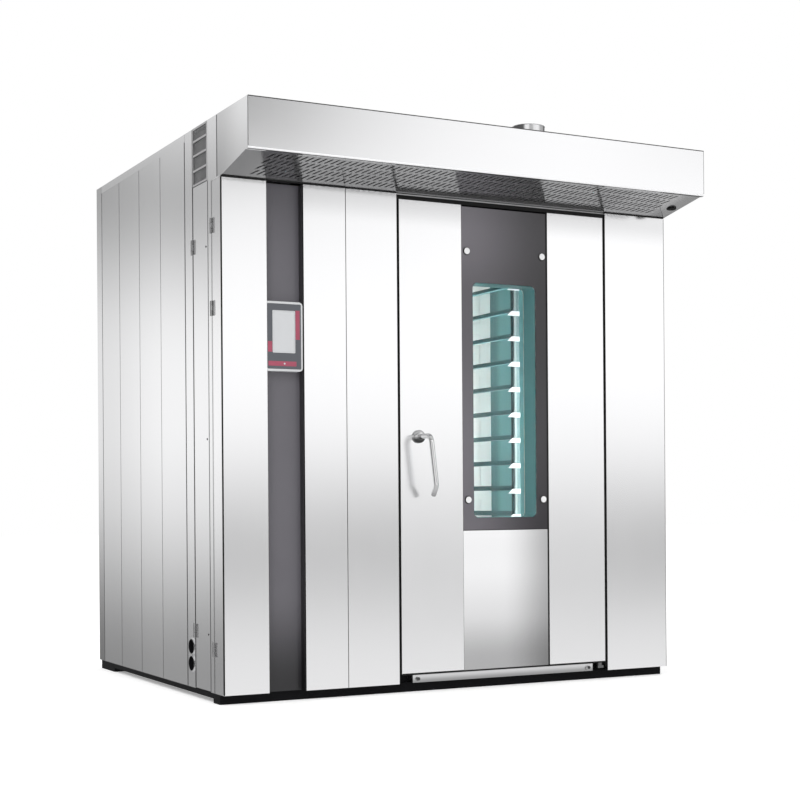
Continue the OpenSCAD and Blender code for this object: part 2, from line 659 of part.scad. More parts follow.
/* ---- Turning drive ---- */
module drive_gearmotor() color([0.25, 0.35, 0.45]) place()
    translate([rotor_x + gear_dx, rotor_y, deck_z + 4]) difference() {
        union() {
            box([5, -78, 0], [62, -70, 56]);
            box([5, 70, 0], [62, 78, 56]);
            box([-50, -78, 56], [62, 78, 62]);
            box([-48, -60, 62], [60, 60, 132]);
            xcyl([60, 0, 96], 44, 170);
        }
        zcyl([0, 0, 50], 12 + run, 40);
    }
module drive_pinion() color(dull) place()
    translate([rotor_x + gear_dx, rotor_y, gear_z]) {
        rotate([0, 0, 180 + 180 / pinion_teeth]) gear(pinion_teeth, gear_mod, gear_t, 6);
        zcyl([0, 0, -14], 12, 50);
    }
module ring_gear() color(dull) place() translate([rotor_x, rotor_y, gear_z]) {
    gear(gear_teeth, gear_mod, gear_t, shaft_r + run);
    difference() {
        translate([0, 0, gear_t]) cylinder(r = 45, h = 20);
        cylinder(r = shaft_r + run, h = 80);
    }
}
module shaft_bearing() color([0.3, 0.3, 0.32]) place()
    translate([rotor_x, rotor_y, deck_z + 4]) difference() {
        union() {
            cylinder(r = 75, h = 6);
            cylinder(r = 45, h = gear_z - deck_z - 4 - tiny);
        }
        translate([0, 0, -over]) cylinder(r = shaft_r + run, h = 60);
    }
// Vertical shaft with the fork that takes the rack by its top bar
module rack_shaft() color(dull) place() translate([rotor_x, rotor_y, 0]) {
    zcyl([0, 0, rack_h + 12], shaft_r, gear_z + 40 - rack_h - 12);
    zcyl([0, 0, rack_h + 4], 55, 14);
    for (y = [-post / 2 - 10, post / 2 + 2]) box([-50, y, rack_h - 20], [50, y + 8, rack_h + 6]);
}
module turntable() color(dull) place() translate([rotor_x, rotor_y, table_z]) difference() {
    union() {
        cylinder(r = table_r, h = table_t - 3);
        translate([0, 0, table_t - 3]) cylinder(r1 = table_r, r2 = table_r - 5, h = 3);
    }
    translate([0, 0, -over]) cylinder(r = 20 + run, h = 40);
}

/* ---- Rack ---- */
caster_x = half_w - post - 12;
caster_y = half_d - 45;
trail = 34;
module rack_frame() color(steel) place() translate([rotor_x, rotor_y, 0]) {
    inner = half_w - post - weld;
    for (x = [-1, 1], y = [-1, 1]) translate([x * (half_w - post / 2), y * (half_d - post / 2), 0])
        box([-post / 2, -post / 2, rack_z], [post / 2, post / 2, rack_h]);
    for (z = [rack_z, rack_h - post]) {
        for (y = [-half_d, half_d - post]) box([-inner, y, z], [inner, y + post, z + post]);
        for (x = [-half_w, half_w - post]) box([x, -half_d + post + weld, z],
            [x + post, half_d - post - weld, z + post]);
    }
    // top bar that the fork of the shaft holds
    box([-inner, -post / 2, rack_h - post], [inner, post / 2, rack_h]);
    // angle runners that carry the trays
    for (k = [0:levels - 1], s = [-1, 1]) scale([s, 1, 1]) {
        z = level_z + k * pitch;
        box([inner - 22, -half_d, z], [inner, half_d, z + 2]);
        box([inner - 2, -half_d, z + 2], [inner, half_d, z + 20]);
    }
    // caster plates; the front pair swivels in its bores, the rear pair has fixed forks
    for (x = [-1, 1], y = [-1, 1]) translate([x * caster_x, y * caster_y, rack_z - 5 - weld])
        difference() {
            translate([-25, -25, 0]) cube([50, 50, 5]);
            if (y < 0) translate([0, 0, -over]) cylinder(r = 8 + run, h = 8);
        }
    for (x = [-1, 1]) translate([x * caster_x, caster_y, 0]) caster_fork_shape(0);
}
// Fork with its axle pin; stem is the length of the swivel stem above the crown
module caster_fork_shape(stem) {
    top = rack_z - 5 - (stem > 0 ? tiny : 2 * weld);
    zc = table_top + wheel_r + tiny;
    for (x = [-21, 18]) {
        difference() {
            box([x, -trail - 14, zc - 14], [x + 3, 22, top]);
            translate([x - 5, 10, zc - 20]) cube([20, 40, wheel_r + 16]);
        }
    }
    box([-21, -22, top - 4], [21, 22, top]);
    xcyl([-21, -trail, zc], 6, 42);
    if (stem > 0) zcyl([0, 0, top - 4], 8, stem + 4);
}
module caster_wheel(p) color(rubber) place() translate([rotor_x + p[0], rotor_y + p[1],
    table_top + wheel_r + tiny]) rotate([0, 90, 0]) difference() {
        union() {
            translate([0, 0, -15]) cylinder(r = wheel_r, h = 30);
            translate([0, 0, -17.5]) cylinder(r = 14, h = 35);
        }
        translate([0, 0, -20]) cylinder(r = 6 + run, h = 40);
    }
module caster_fork_left() color(dull) place()
    translate([rotor_x - caster_x, rotor_y - caster_y, 0]) mirror([0, 1, 0]) caster_fork_shape(14);
module caster_fork_right() color(dull) place()
    translate([rotor_x + caster_x, rotor_y - caster_y, 0]) mirror([0, 1, 0]) caster_fork_shape(14);
module rack_wheel_1() caster_wheel([-caster_x, -caster_y + trail]);
module rack_wheel_2() caster_wheel([caster_x, -caster_y + trail]);
module rack_wheel_3() caster_wheel([-caster_x, caster_y - trail]);
module rack_wheel_4() caster_wheel([caster_x, caster_y - trail]);

/* ---- Oven door ---- */
module door_skins() color(steel) place() {
    difference() {
        union() {
            tray([door_x, 0, door_z], [door_x + stile_w, skin_d, door_top], [0, 1, 0]);
            tray([stile2_x, 0, door_z], [door_r, skin_d, door_top], [0, 1, 0]);
            tray([glass_x, 0, door_z + 1], [glass_x + glass_w, skin_d, door_z + lower_h], [0, 1, 0]);
        }
        for (z = [door_z - over, door_top - 6]) zcyl([hinge_x, hinge_y, z], pivot_r + 2, 10);
        ycyl([spindle[0], -over, handle_z], tube_r + 3, 10);
        box([door_x - over, 18, bolt_z - 2], [door_x + 5, 38, bolt_z + bolt_h + 2]);
    }
}
fixings = [[glass_x + 23, glass_z + 120], [glass_x + glass_w - 20, glass_z + 120],
    [glass_x + 23, glass_top - 176], [glass_x + glass_w - 20, glass_top - 176]];
module door_glass() color([0.20, 0.19, 0.21, 0.9]) place() difference() {
    box([glass_x, 0, glass_z], [glass_x + glass_w, glass_t, glass_top]);
    for (p = fixings) ycyl([p[0], -over, p[1]], 5 + tiny, 20);
}
// Stand-off fixings of the glass, and the rosette of the handle
module door_fittings() color(steel) place() {
    for (p = fixings) {
        ycyl([p[0], -5, p[1]], 13, 5);
        ycyl([p[0], 0, p[1]], 5, skin_d);
        ycyl([p[0], glass_t + tiny / 3, p[1]], 9, skin_d - glass_t - tiny / 3);
    }
    difference() {
        ycyl([spindle[0], -8, handle_z], 25, 8);
        ycyl([spindle[0], -10, handle_z], tube_r + run, 20);
    }
}
module door_inner_pan() color(steel) place() difference() {
    union() {
        difference() {
            box([plug[0], skin_d, plug[2]], [plug[1], door_t, plug[3]]);
            box([plug[0] + sheet, skin_d - over, plug[2] + sheet],
                [plug[1] - sheet, door_t - sheet, plug[3] - sheet]);
        }
        box([door_x + 2, skin_d, door_z + 2], [hinge_x + 14, skin_d + sheet, door_top - 2]);
        window_block(sheet, glass_t + 2, door_t - 7.3);
    }
    window_block(0, 0, door_t + over);
    // holes for the handle spindle's arm
    ycyl([spindle[0], skin_d - over, handle_z], tube_r + 4, 6);
}
module door_insulation() color(wool) place() difference() {
    wall = sheet + tiny;
    box([plug[0] + wall, skin_d + wall, plug[2] + wall], [plug[1] - wall, door_t - wall, plug[3] - wall]);
    box([win_x - win_w / 2 - pane_edge - 10, 0, win_z - pane_edge - 10],
        [win_x + win_w / 2 + pane_edge + 10, door_t, win_z + win_h + pane_edge + 10]);
}
module inner_glass() color([0.7, 0.9, 0.88, 0.4]) place()
    box([win_x - win_w / 2 - pane_edge, door_t - 7, win_z - pane_edge],
        [win_x + win_w / 2 + pane_edge, door_t - sheet - tiny, win_z + win_h + pane_edge]);
module door_gasket() color(rubber) place() difference() {
    box([seal[0], skin_d + sheet, seal[2]], [seal[1], frame_y - tiny, seal[3]]);
    box([seal[0] + seal_w + 2, skin_d, seal[2] + 7], [seal[1] - seal_w, frame_y, seal[3] - seal_w]);
}
module pivot_bushes() color([0.75, 0.6, 0.3]) place() for (z = [door_z + sheet, door_top - sheet - 30])
    difference() {
        box([hinge_x - 14, sheet, z], [hinge_x + 14, sheet + 24, z + 30]);
        zcyl([hinge_x, hinge_y, z - over], pivot_r + run, 40);
    }
module latch_case() color(dull) place() difference() {
    box([door_x + sheet + 1, sheet, bolt_z - 8], [door_x + 58, skin_d, bolt_z + bolt_h + 8]);
    box([door_x, 20 - tiny, bolt_z - tiny], [door_x + 70, 36 + tiny, bolt_z + bolt_h + tiny]);
}
module latch_bolt() color(dull) place() difference() {
    box([door_x - bolt_out, 20, bolt_z], [spindle[0] + 27, 35, bolt_z + bolt_h]);
    box([spindle[0] - 6, 0, bolt_z + 3], [spindle[0] + 6, 50, bolt_z + bolt_h + over]);
}
// Tube lever: spindle, elbow, straight grip and the end turned back to the door. The bends are
// a hair thinner than the straight tubes, which reach a little way into them
module tube_bend(r, angle) rotate([90, 0, 0]) rotate([0, 0, 90 - angle])
    rotate_extrude(angle = angle) translate([r, 0]) circle(tube_r - 0.02);
module handle_lever() color(steel) place() {
    bend = 22;
    kick = 41;
    tail = 40;
    lap = 0.5;
    grip = lever_l - bend - bend * sin(kick) - tail * cos(kick);
    translate(spindle) rotate([0, 90 - lever_lean, 0]) rotate([90, 0, 0]) {
        translate([0, 0, -41]) cylinder(r = tube_r, h = 41 + handle_out - bend + lap);
        translate([bend, 0, handle_out - bend]) rotate([0, -90, 0]) tube_bend(bend, 90);
        translate([bend - lap, 0, handle_out]) rotate([0, 90, 0])
            cylinder(r = tube_r, h = grip + 2 * lap);
        translate([bend + grip, 0, handle_out - bend]) {
            tube_bend(bend, kick);
            rotate([0, kick, 0]) translate([-lap, 0, bend]) rotate([0, 90, 0])
                cylinder(r = tube_r, h = tail + lap);
        }
    }
    // arm and pin that draw the bolt
    box([spindle[0] - 7, 36.5, handle_z - 27], [spindle[0] + 7, 40, handle_z]);
    ycyl([spindle[0], 22, bolt_z + 8], 3, 16);
}

/* ---- Control door and service door ---- */
module control_door_panel() color(steel) place() {
    z0 = plinth_h;
    z1 = front_h - 1;
    box([0, 4, z0], [sheet, ctrl_d, z1]);
    box([0, 4, z0], [7, 6, z1]);
    box([5, 0, z0], [7, 6, z1]);
    box([5, 0, z0], [ctrl_leaf_w, sheet, z1]);
    box([ctrl_leaf_w - sheet, 0, z0], [ctrl_leaf_w, strip_back + 8, z1]);
    box([0, ctrl_d - sheet, z0], [30, ctrl_d, z1]);
    for (z = [z0, z1 - sheet]) box([0, 4, z], [ctrl_leaf_w, strip_back + 8, z + sheet]);
    for (z = ctrl_hinges) moving_half(ctrl_axis, z);
}
module control_strip() color(anthracite) place() {
    x = [ctrl_leaf_w + tiny, ctrl_w - 2];
    z = [plinth_h, front_h - 1];
    box([x[0], strip_back, z[0]], [x[1], strip_back + sheet, z[1]]);
    box([x[1] - sheet, sheet, z[0]], [x[1], ctrl_d - 30, z[1]]);
}
panel_z = [1231, 1490];
panel_r = 14;
module control_panel() color([0.72, 0.72, 0.74]) place() {
    x = [ctrl_leaf_w + 1, ctrl_w - 5];
    difference() {
        union() {
            box([x[0], 1, panel_z[0]], [x[1] - panel_r, strip_back - tiny, panel_z[1]]);
            box([x[0], 1, panel_z[0] + panel_r], [x[1], strip_back - tiny, panel_z[1] - panel_r]);
            for (z = [panel_z[0] + panel_r, panel_z[1] - panel_r])
                ycyl([x[1] - panel_r, 1, z], panel_r, strip_back - 1 - tiny);
        }
        box([ctrl_leaf_w + 24, 0, panel_z[0] + 70], [ctrl_leaf_w + 112, 4, panel_z[0] + 224]);
    }
}
module control_screen() color([0.8, 0.8, 0.84]) place()
    box([ctrl_leaf_w + 24.5, 1.5, panel_z[0] + 70.5], [ctrl_leaf_w + 111.5, 4, panel_z[0] + 223.5]);
module service_door() color(steel) place() {
    tray([0, serv_y0, plinth_h + 3], [panel_t, serv_y1, serv_top], [1, 0, 0]);
    for (z = serv_hinges) moving_half(serv_axis, z);
}

base_plinth();
corner_posts();
side_panels();
rear_panels();
roof_panels();
side_grille();
front_panels();
front_frame();
service_ports();
chamber_floor();
chamber_walls();
rear_air_wall();
insulation();
top_deck();
heater_bank();
fan_motors();
chamber_lamp();
steam_generator();
vent_duct();
threshold_bar();
frame_hinges();
latch_keeper();
switchgear();
hood_fascia();
hood_shell();
hood_underside();
hood_filters();
exhaust_collar();
drive_gearmotor();
shaft_bearing();
door_skins();
door_glass();
door_fittings();
door_inner_pan();
door_insulation();
inner_glass();
door_gasket();
pivot_bushes();
latch_case();
handle_lever();
latch_bolt();
control_door_panel();
control_strip();
control_panel();
control_screen();
service_door();
ring_gear();
rack_shaft();
turntable();
rack_frame();
caster_fork_left();
caster_fork_right();
rack_wheel_1();
rack_wheel_2();
rack_wheel_3();
rack_wheel_4();
drive_pinion();
circulation_fan();
hood_fan();
vent_damper();
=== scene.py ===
"""Looks of a rotating rack oven: polished steel cabinet, dark glass door, slotted hood."""
import json
import math

import bmesh
import bpy
import numpy as np
from mathutils import Matrix, Vector


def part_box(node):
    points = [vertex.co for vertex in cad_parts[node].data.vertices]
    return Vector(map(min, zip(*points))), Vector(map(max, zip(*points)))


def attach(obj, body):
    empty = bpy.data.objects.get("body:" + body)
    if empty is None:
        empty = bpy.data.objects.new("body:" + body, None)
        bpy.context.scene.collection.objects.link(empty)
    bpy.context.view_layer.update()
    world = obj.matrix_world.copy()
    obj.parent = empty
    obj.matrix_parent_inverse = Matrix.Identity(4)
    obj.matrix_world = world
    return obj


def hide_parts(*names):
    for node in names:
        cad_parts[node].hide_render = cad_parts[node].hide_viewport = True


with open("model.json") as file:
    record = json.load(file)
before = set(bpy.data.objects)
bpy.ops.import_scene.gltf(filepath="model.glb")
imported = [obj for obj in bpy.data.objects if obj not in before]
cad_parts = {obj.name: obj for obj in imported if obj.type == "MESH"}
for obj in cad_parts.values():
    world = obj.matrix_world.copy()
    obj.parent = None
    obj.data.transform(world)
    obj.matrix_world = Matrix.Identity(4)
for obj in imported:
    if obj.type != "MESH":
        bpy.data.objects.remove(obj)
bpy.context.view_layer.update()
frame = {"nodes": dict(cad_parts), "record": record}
NODES = frame["nodes"]

MM = 0.001
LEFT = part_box("side_panels")[0].x          # outer face of the left side
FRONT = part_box("front_panels")[0].y        # face of the front panels
NARROW_R = 504                             # seam between the narrow and the wide front panel
SPINDLE = (813, 995)                       # the handle's spindle, from the left and from the floor


def at(x, y, z):
    """A point given in millimetres from the left side, the front face and the floor."""
    return np.array([LEFT + x * MM, FRONT + y * MM, z * MM])


def span(node):
    """Lowest and highest corner of a node, in the millimetres that at() takes."""
    return [(np.array(p) - (LEFT, FRONT, 0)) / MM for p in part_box(node)]


# ---------------------------------------------------------------- camera and light

def make_camera():
    """Camera fitted to the cabinet's corners: eye at hand height, left of the cabinet."""
    cam = bpy.data.cameras.new("camera")
    cam.sensor_width = 36.0
    cam.lens = 69.67
    cam.shift_y = 0.1275                   # keeps the verticals upright
    cam.clip_end = 200.0
    obj = bpy.data.objects.new("camera", cam)
    bpy.context.scene.collection.objects.link(obj)
    yaw, roll = math.radians(27.522), math.radians(-0.4058)
    turn = Matrix.Rotation(-yaw, 4, "Z") @ Matrix.Rotation(math.pi / 2, 4, "X")
    obj.matrix_world = (Matrix.Translation(at(-2035.4, -5306.9, 741.2)) @ turn
                        @ Matrix.Rotation(roll, 4, "Z"))
    bpy.context.scene.camera = obj


# Brightness that polished sheet mirrors, by elevation: in front of the cabinet and beside it
STUDIO_FRONT = [(-12, 0.90), (-5.6, 0.93), (-4.2, 0.83), (-3.2, 0.56), (-1.9, 0.34), (-0.9, 0.40),
                (0.2, 0.76), (1.6, 1.07), (3.2, 1.17), (5.0, 1.18), (7.5, 1.18), (9.0, 1.14),
                (11.5, 1.12), (14.0, 1.17), (19.0, 1.17)]
STUDIO_SIDE = [(-12, 0.46), (-5.8, 0.30), (-4.4, 0.39), (-2.9, 0.57), (-1.4, 0.76), (0.2, 0.93),
               (2.4, 1.05), (5.2, 1.05), (6.8, 0.97), (8.4, 0.76), (9.8, 0.55), (11.2, 0.42),
               (12.2, 0.50), (13.0, 0.64), (14.2, 0.84), (19.0, 0.9)]
SINES = (-0.35, 0.35)                      # sines of elevation that the two tables are spread over
# The hood's front mirrors a card that fades out at both ends: direction X and brightness
HOOD_CARD = [(0.30, 0.19), (0.362, 0.26), (0.39, 0.41), (0.421, 0.68), (0.448, 0.80),
             (0.476, 0.875), (0.503, 0.925), (0.557, 1.0), (0.582, 0.90), (0.604, 0.78)]
# Round the horizon, azimuth in degrees from +X: cards where flat sheet looks, dark between them
ROUND = [(-180, 0.14), (-164, 0.30), (-146, 0.92), (-115, 0.94), (-88, 0.97), (-45, 1.0), (-28, 0.50),
         (20, 0.45), (70, 0.40), (93, 0.95), (123, 1.0), (132, 0.20), (180, 0.14)]


def grey_ramp(tree, stops, source, reach=None, between="LINEAR"):
    """Grey value that follows stops (position, value) over a number. The number's reach is that of
    the stops where none is given."""
    low, high = reach or (stops[0][0], stops[-1][0])
    number = tree.nodes.new("ShaderNodeMapRange")
    number.inputs["From Min"].default_value = low
    number.inputs["From Max"].default_value = high
    tree.links.new(source, number.inputs["Value"])
    node = tree.nodes.new("ShaderNodeValToRGB")
    node.color_ramp.interpolation = between
    elements = node.color_ramp.elements
    places = [((p - low) / (high - low), (v, v, v, 1)) for p, v in stops]
    for element, (p, colour) in zip((elements[0], elements[1]), (places[0], places[-1])):
        element.position, element.color = p, colour
    for p, colour in places[1:-1]:
        elements.new(p).color = colour
    tree.links.new(number.outputs["Result"], node.inputs["Fac"])
    return node.outputs["Color"]


def blend_grey(tree, factor, a, b):
    """Mix of two colours, each a socket or a grey number."""
    node = tree.nodes.new("ShaderNodeMix")
    node.data_type = "RGBA"
    tree.links.new(factor, node.inputs["Factor"])
    for socket, value in ((node.inputs["A"], a), (node.inputs["B"], b)):
        if isinstance(value, (int, float)):
            socket.default_value = (value, value, value, 1)
        else:
            tree.links.new(value, socket)
    return node.outputs["Result"]


def step(tree, source, start, end):
    """0 below start, 1 above end, smooth between."""
    node = tree.nodes.new("ShaderNodeMapRange")
    node.interpolation_type = "SMOOTHSTEP"
    node.inputs["From Min"].default_value = start
    node.inputs["From Max"].default_value = end
    tree.links.new(source, node.inputs["Value"])
    return node.outputs["Result"]


def times(tree, a, b):
    """Product of two colours."""
    node = tree.nodes.new("ShaderNodeMix")
    node.data_type = "RGBA"
    node.blend_type = "MULTIPLY"
    node.inputs["Factor"].default_value = 1.0
    tree.links.new(a, node.inputs["A"])
    tree.links.new(b, node.inputs["B"])
    return node.outputs["Result"]


def make_world():
    """White studio: plain white to the eye, and soft bands of card for what polished steel mirrors."""
    world = bpy.data.worlds.new("studio")
    bpy.context.scene.world = world
    world.use_nodes = True
    tree = world.node_tree
    tree.nodes.clear()
    new, link = tree.nodes.new, tree.links.new
    place = new("ShaderNodeTexCoord")
    split = new("ShaderNodeSeparateXYZ")
    link(place.outputs["Generated"], split.inputs["Vector"])
    x, y, z = (split.outputs[n] for n in "XYZ")
    front, side = (grey_ramp(tree, [(math.sin(math.radians(a)), v) for a, v in table], z, SINES,
                             "EASE") for table in (STUDIO_FRONT, STUDIO_SIDE))
    both = blend_grey(tree, step(tree, y, -0.35, 0.35), front, side)
    # the hood's card stands high in front of the cabinet only
    fade = blend_grey(tree, step(tree, z, 0.20, 0.222), 1.0, grey_ramp(tree, HOOD_CARD, x))
    fade = blend_grey(tree, step(tree, y, -0.2, 0.0), fade, 1.0)
    bearing = new("ShaderNodeMath")
    bearing.operation = "ARCTAN2"
    link(y, bearing.inputs[0])
    link(x, bearing.inputs[1])
    cards = grey_ramp(tree, [(math.radians(a), v) for a, v in ROUND], bearing.outputs["Value"])
    level = times(tree, times(tree, both, fade), cards)
    ceiling, ground = 0.62, 0.58
    level = blend_grey(tree, step(tree, z, 0.36, 0.5), level, ceiling)
    level = blend_grey(tree, step(tree, z, -0.42, -0.30), ground, level)
    mirrored = new("ShaderNodeBackground")
    link(level, mirrored.inputs["Color"])
    soft = new("ShaderNodeBackground")
    soft.inputs["Color"].default_value = (1, 1, 1, 1)
    soft.inputs["Strength"].default_value = 0.85
    white = new("ShaderNodeBackground")
    white.inputs["Color"].default_value = (1, 1, 1, 1)
    rays = new("ShaderNodeLightPath")
    pick_glossy = new("ShaderNodeMixShader")
    link(rays.outputs["Is Glossy Ray"], pick_glossy.inputs["Fac"])
    link(soft.outputs["Background"], pick_glossy.inputs[1])
    link(mirrored.outputs["Background"], pick_glossy.inputs[2])
    seen = new("ShaderNodeMath")
    seen.operation = "MAXIMUM"
    link(rays.outputs["Is Camera Ray"], seen.inputs[0])
    link(rays.outputs["Is Transmission Ray"], seen.inputs[1])
    pick_seen = new("ShaderNodeMixShader")
    link(seen.outputs["Value"], pick_seen.inputs["Fac"])
    link(pick_glossy.outputs["Shader"], pick_seen.inputs[1])
    link(white.outputs["Background"], pick_seen.inputs[2])
    out = new("ShaderNodeOutputWorld")
    link(pick_seen.outputs["Shader"], out.inputs["Surface"])


def area_lamp(name, place, aim, size, power):
    """Large soft lamp at place, turned to aim; polished sheet doesn't mirror it."""
    light = bpy.data.lights.new(name, "AREA")
    light.shape, light.size, light.energy = "SQUARE", size, power
    obj = bpy.data.objects.new(name, light)
    bpy.context.scene.collection.objects.link(obj)
    turn = (Vector(aim) - Vector(place)).to_track_quat("-Z", "Y")
    obj.matrix_world = Matrix.Translation(place) @ turn.to_matrix().to_4x4()
    obj.visible_glossy = False


def make_floor():
    """Wide pale floor that keeps the contact shadow; polished sheet sees past it."""
    half = 30.0
    mesh = bpy.data.meshes.new("floor")
    mesh.from_pydata([(-half, -half, 0), (half, -half, 0), (half, half, 0), (-half, half, 0)],
                     [], [(0, 1, 2, 3)])
    floor = bpy.data.objects.new("floor", mesh)
    bpy.context.scene.collection.objects.link(floor)
    mat = bpy.data.materials.new("pale_floor")
    mat.use_nodes = True
    tree = mat.node_tree
    tree.nodes.clear()
    pale = tree.nodes.new("ShaderNodeBsdfDiffuse")
    pale.inputs["Color"].default_value = (0.92, 0.92, 0.92, 1)
    glow = tree.nodes.new("ShaderNodeEmission")         # lifts the floor to white for the camera
    lift = tree.nodes.new("ShaderNodeMath")
    lift.operation = "MULTIPLY"
    lift.inputs[1].default_value = 0.30
    both = tree.nodes.new("ShaderNodeAddShader")
    clear = tree.nodes.new("ShaderNodeBsdfTransparent")
    rays = tree.nodes.new("ShaderNodeLightPath")
    mix = tree.nodes.new("ShaderNodeMixShader")
    out = tree.nodes.new("ShaderNodeOutputMaterial")
    tree.links.new(rays.outputs["Is Glossy Ray"], mix.inputs["Fac"])
    tree.links.new(rays.outputs["Is Camera Ray"], lift.inputs[0])
    tree.links.new(lift.outputs["Value"], glow.inputs["Strength"])
    tree.links.new(pale.outputs["BSDF"], both.inputs[0])
    tree.links.new(glow.outputs["Emission"], both.inputs[1])
    tree.links.new(both.outputs["Shader"], mix.inputs[1])
    tree.links.new(clear.outputs["BSDF"], mix.inputs[2])
    tree.links.new(mix.outputs["Shader"], out.inputs["Surface"])
    mesh.materials.append(mat)


# ---------------------------------------------------------------- shared effects

def group(name, inputs, outputs):
    """Empty node group with float inputs (name, value) and float outputs (name)."""
    tree = bpy.data.node_groups.new(name, "ShaderNodeTree")
    for label, value in inputs:
        socket = tree.interface.new_socket(label, in_out="INPUT", socket_type="NodeSocketFloat")
        socket.default_value = value
    for label in outputs:
        tree.interface.new_socket(label, in_out="OUTPUT", socket_type="NodeSocketFloat")
    return tree, tree.nodes.new("NodeGroupInput"), tree.nodes.new("NodeGroupOutput")


def noise(tree, vector, scale, detail, rough=0.5):
    """Value of a noise texture over a vector."""
    node = tree.nodes.new("ShaderNodeTexNoise")
    node.inputs["Scale"].default_value = scale
    node.inputs["Detail"].default_value = detail
    node.inputs["Roughness"].default_value = rough
    tree.links.new(vector, node.inputs["Vector"])
    return node.outputs["Fac"]


def calc(tree, operation, a, b):
    """Math node of two values, each a number or a socket."""
    node = tree.nodes.new("ShaderNodeMath")
    node.operation = operation
    for socket, value in zip(node.inputs, (a, b)):
        if isinstance(value, (int, float)):
            socket.default_value = value
        else:
            tree.links.new(value, socket)
    return node.outputs["Value"]


EFFECT = ("Roughness", "Height", "Tone")   # what a finish takes from the grain or the speckle


def make_grain():
    """Polishing grain: fine upright streaks, hand smudges and the height of the streaks."""
    tree, given, out = group("steel_grain", [("Rough", 0.15), ("Streak", 0.02), ("Smudge", 0.03)],
                             EFFECT)
    place = tree.nodes.new("ShaderNodeTexCoord")
    stretch = tree.nodes.new("ShaderNodeMapping")
    stretch.inputs["Scale"].default_value = (900, 900, 6)
    tree.links.new(place.outputs["Object"], stretch.inputs["Vector"])
    streak = noise(tree, stretch.outputs["Vector"], 1.0, 2.0)
    smudge = noise(tree, place.outputs["Object"], 2.3, 4.0, 0.6)
    streaks = calc(tree, "MULTIPLY", calc(tree, "SUBTRACT", streak, 0.5), given.outputs["Streak"])
    smears = calc(tree, "MULTIPLY", calc(tree, "SUBTRACT", smudge, 0.5), given.outputs["Smudge"])
    both = calc(tree, "ADD", streaks, smears)
    tree.links.new(calc(tree, "ADD", both, given.outputs["Rough"]), out.inputs["Roughness"])
    tree.links.new(streak, out.inputs["Height"])
    tree.links.new(smudge, out.inputs["Tone"])
    return tree


def make_speckle():
    """Fine speckle of paint, plastic and rubber: a tone, a roughness and a height."""
    tree, given, out = group("fine_speckle", [("Scale", 400), ("Rough", 0.5), ("Spread", 0.15)],
                             EFFECT)
    place = tree.nodes.new("ShaderNodeTexCoord")
    fine = tree.nodes.new("ShaderNodeTexNoise")
    fine.inputs["Detail"].default_value = 2.0
    tree.links.new(place.outputs["Object"], fine.inputs["Vector"])
    tree.links.new(given.outputs["Scale"], fine.inputs["Scale"])
    broad = noise(tree, place.outputs["Object"], 5.0, 3.0)
    spread = calc(tree, "MULTIPLY", calc(tree, "SUBTRACT", broad, 0.5), given.outputs["Spread"])
    tree.links.new(calc(tree, "ADD", spread, given.outputs["Rough"]), out.inputs["Roughness"])
    tree.links.new(fine.outputs["Fac"], out.inputs["Height"])
    tree.links.new(broad, out.inputs["Tone"])
    return tree


def make_shade():
    """Share that runs smoothly from 0 to 1 between two places along one axis of the object: the mask by
    which shaded() paints shade and reflection into a colour.
    """
    axes = [("Across", 0), ("Deep", 0), ("Up", 0)]
    tree, given, out = group("shade_along", axes + [("From", 0), ("To", 1)], ["Shade"])
    place = tree.nodes.new("ShaderNodeTexCoord")
    split = tree.nodes.new("ShaderNodeSeparateXYZ")
    tree.links.new(place.outputs["Object"], split.inputs["Vector"])
    parts = [calc(tree, "MULTIPLY", split.outputs[n], given.outputs[label])
             for n, (label, _) in zip("XYZ", axes)]
    along = calc(tree, "ADD", calc(tree, "ADD", parts[0], parts[1]), parts[2])
    node = tree.nodes.new("ShaderNodeMapRange")
    node.interpolation_type = "SMOOTHSTEP"
    tree.links.new(along, node.inputs["Value"])
    for socket, label in (("From Min", "From"), ("From Max", "To")):
        tree.links.new(given.outputs[label], node.inputs[socket])
    tree.links.new(node.outputs["Result"], out.inputs["Shade"])
    return tree


GRAIN = make_grain()
SPECKLE = make_speckle()
SHADE = make_shade()
AXES = {"x": ("Across", LEFT), "y": ("Deep", FRONT), "z": ("Up", 0.0)}   # input, and zero of at()
FINISH = {}                                # every finish by its name
BUMP_DEPTH = 0.0002                        # metres that the full height of a bump stands for


def shaded(mat, *shades):
    """Paints shade and reflection into a finish's colour along the object: each shade is (axis,
    from mm, to mm, low, high); low and high are greys or colours that the finish is multiplied by."""
    tree = mat.node_tree
    socket = tree.nodes["Principled BSDF"].inputs["Base Color"]
    for axis, start, end, low, high in shades:
        label, zero = AXES[axis]
        node = tree.nodes.new("ShaderNodeGroup")
        node.node_tree = SHADE
        node.inputs[label].default_value = 1.0
        node.inputs["From"].default_value = zero + start * MM
        node.inputs["To"].default_value = zero + end * MM
        tint = tree.nodes.new("ShaderNodeMix")
        tint.data_type = "RGBA"
        for name, value in (("A", low), ("B", high)):
            tint.inputs[name].default_value = (*(value if isinstance(value, tuple) else (value,) * 3), 1)
        tree.links.new(node.outputs["Shade"], tint.inputs["Factor"])
        product = times(tree, socket.links[0].from_socket, tint.outputs["Result"])
        tree.links.new(product, socket)
    return mat


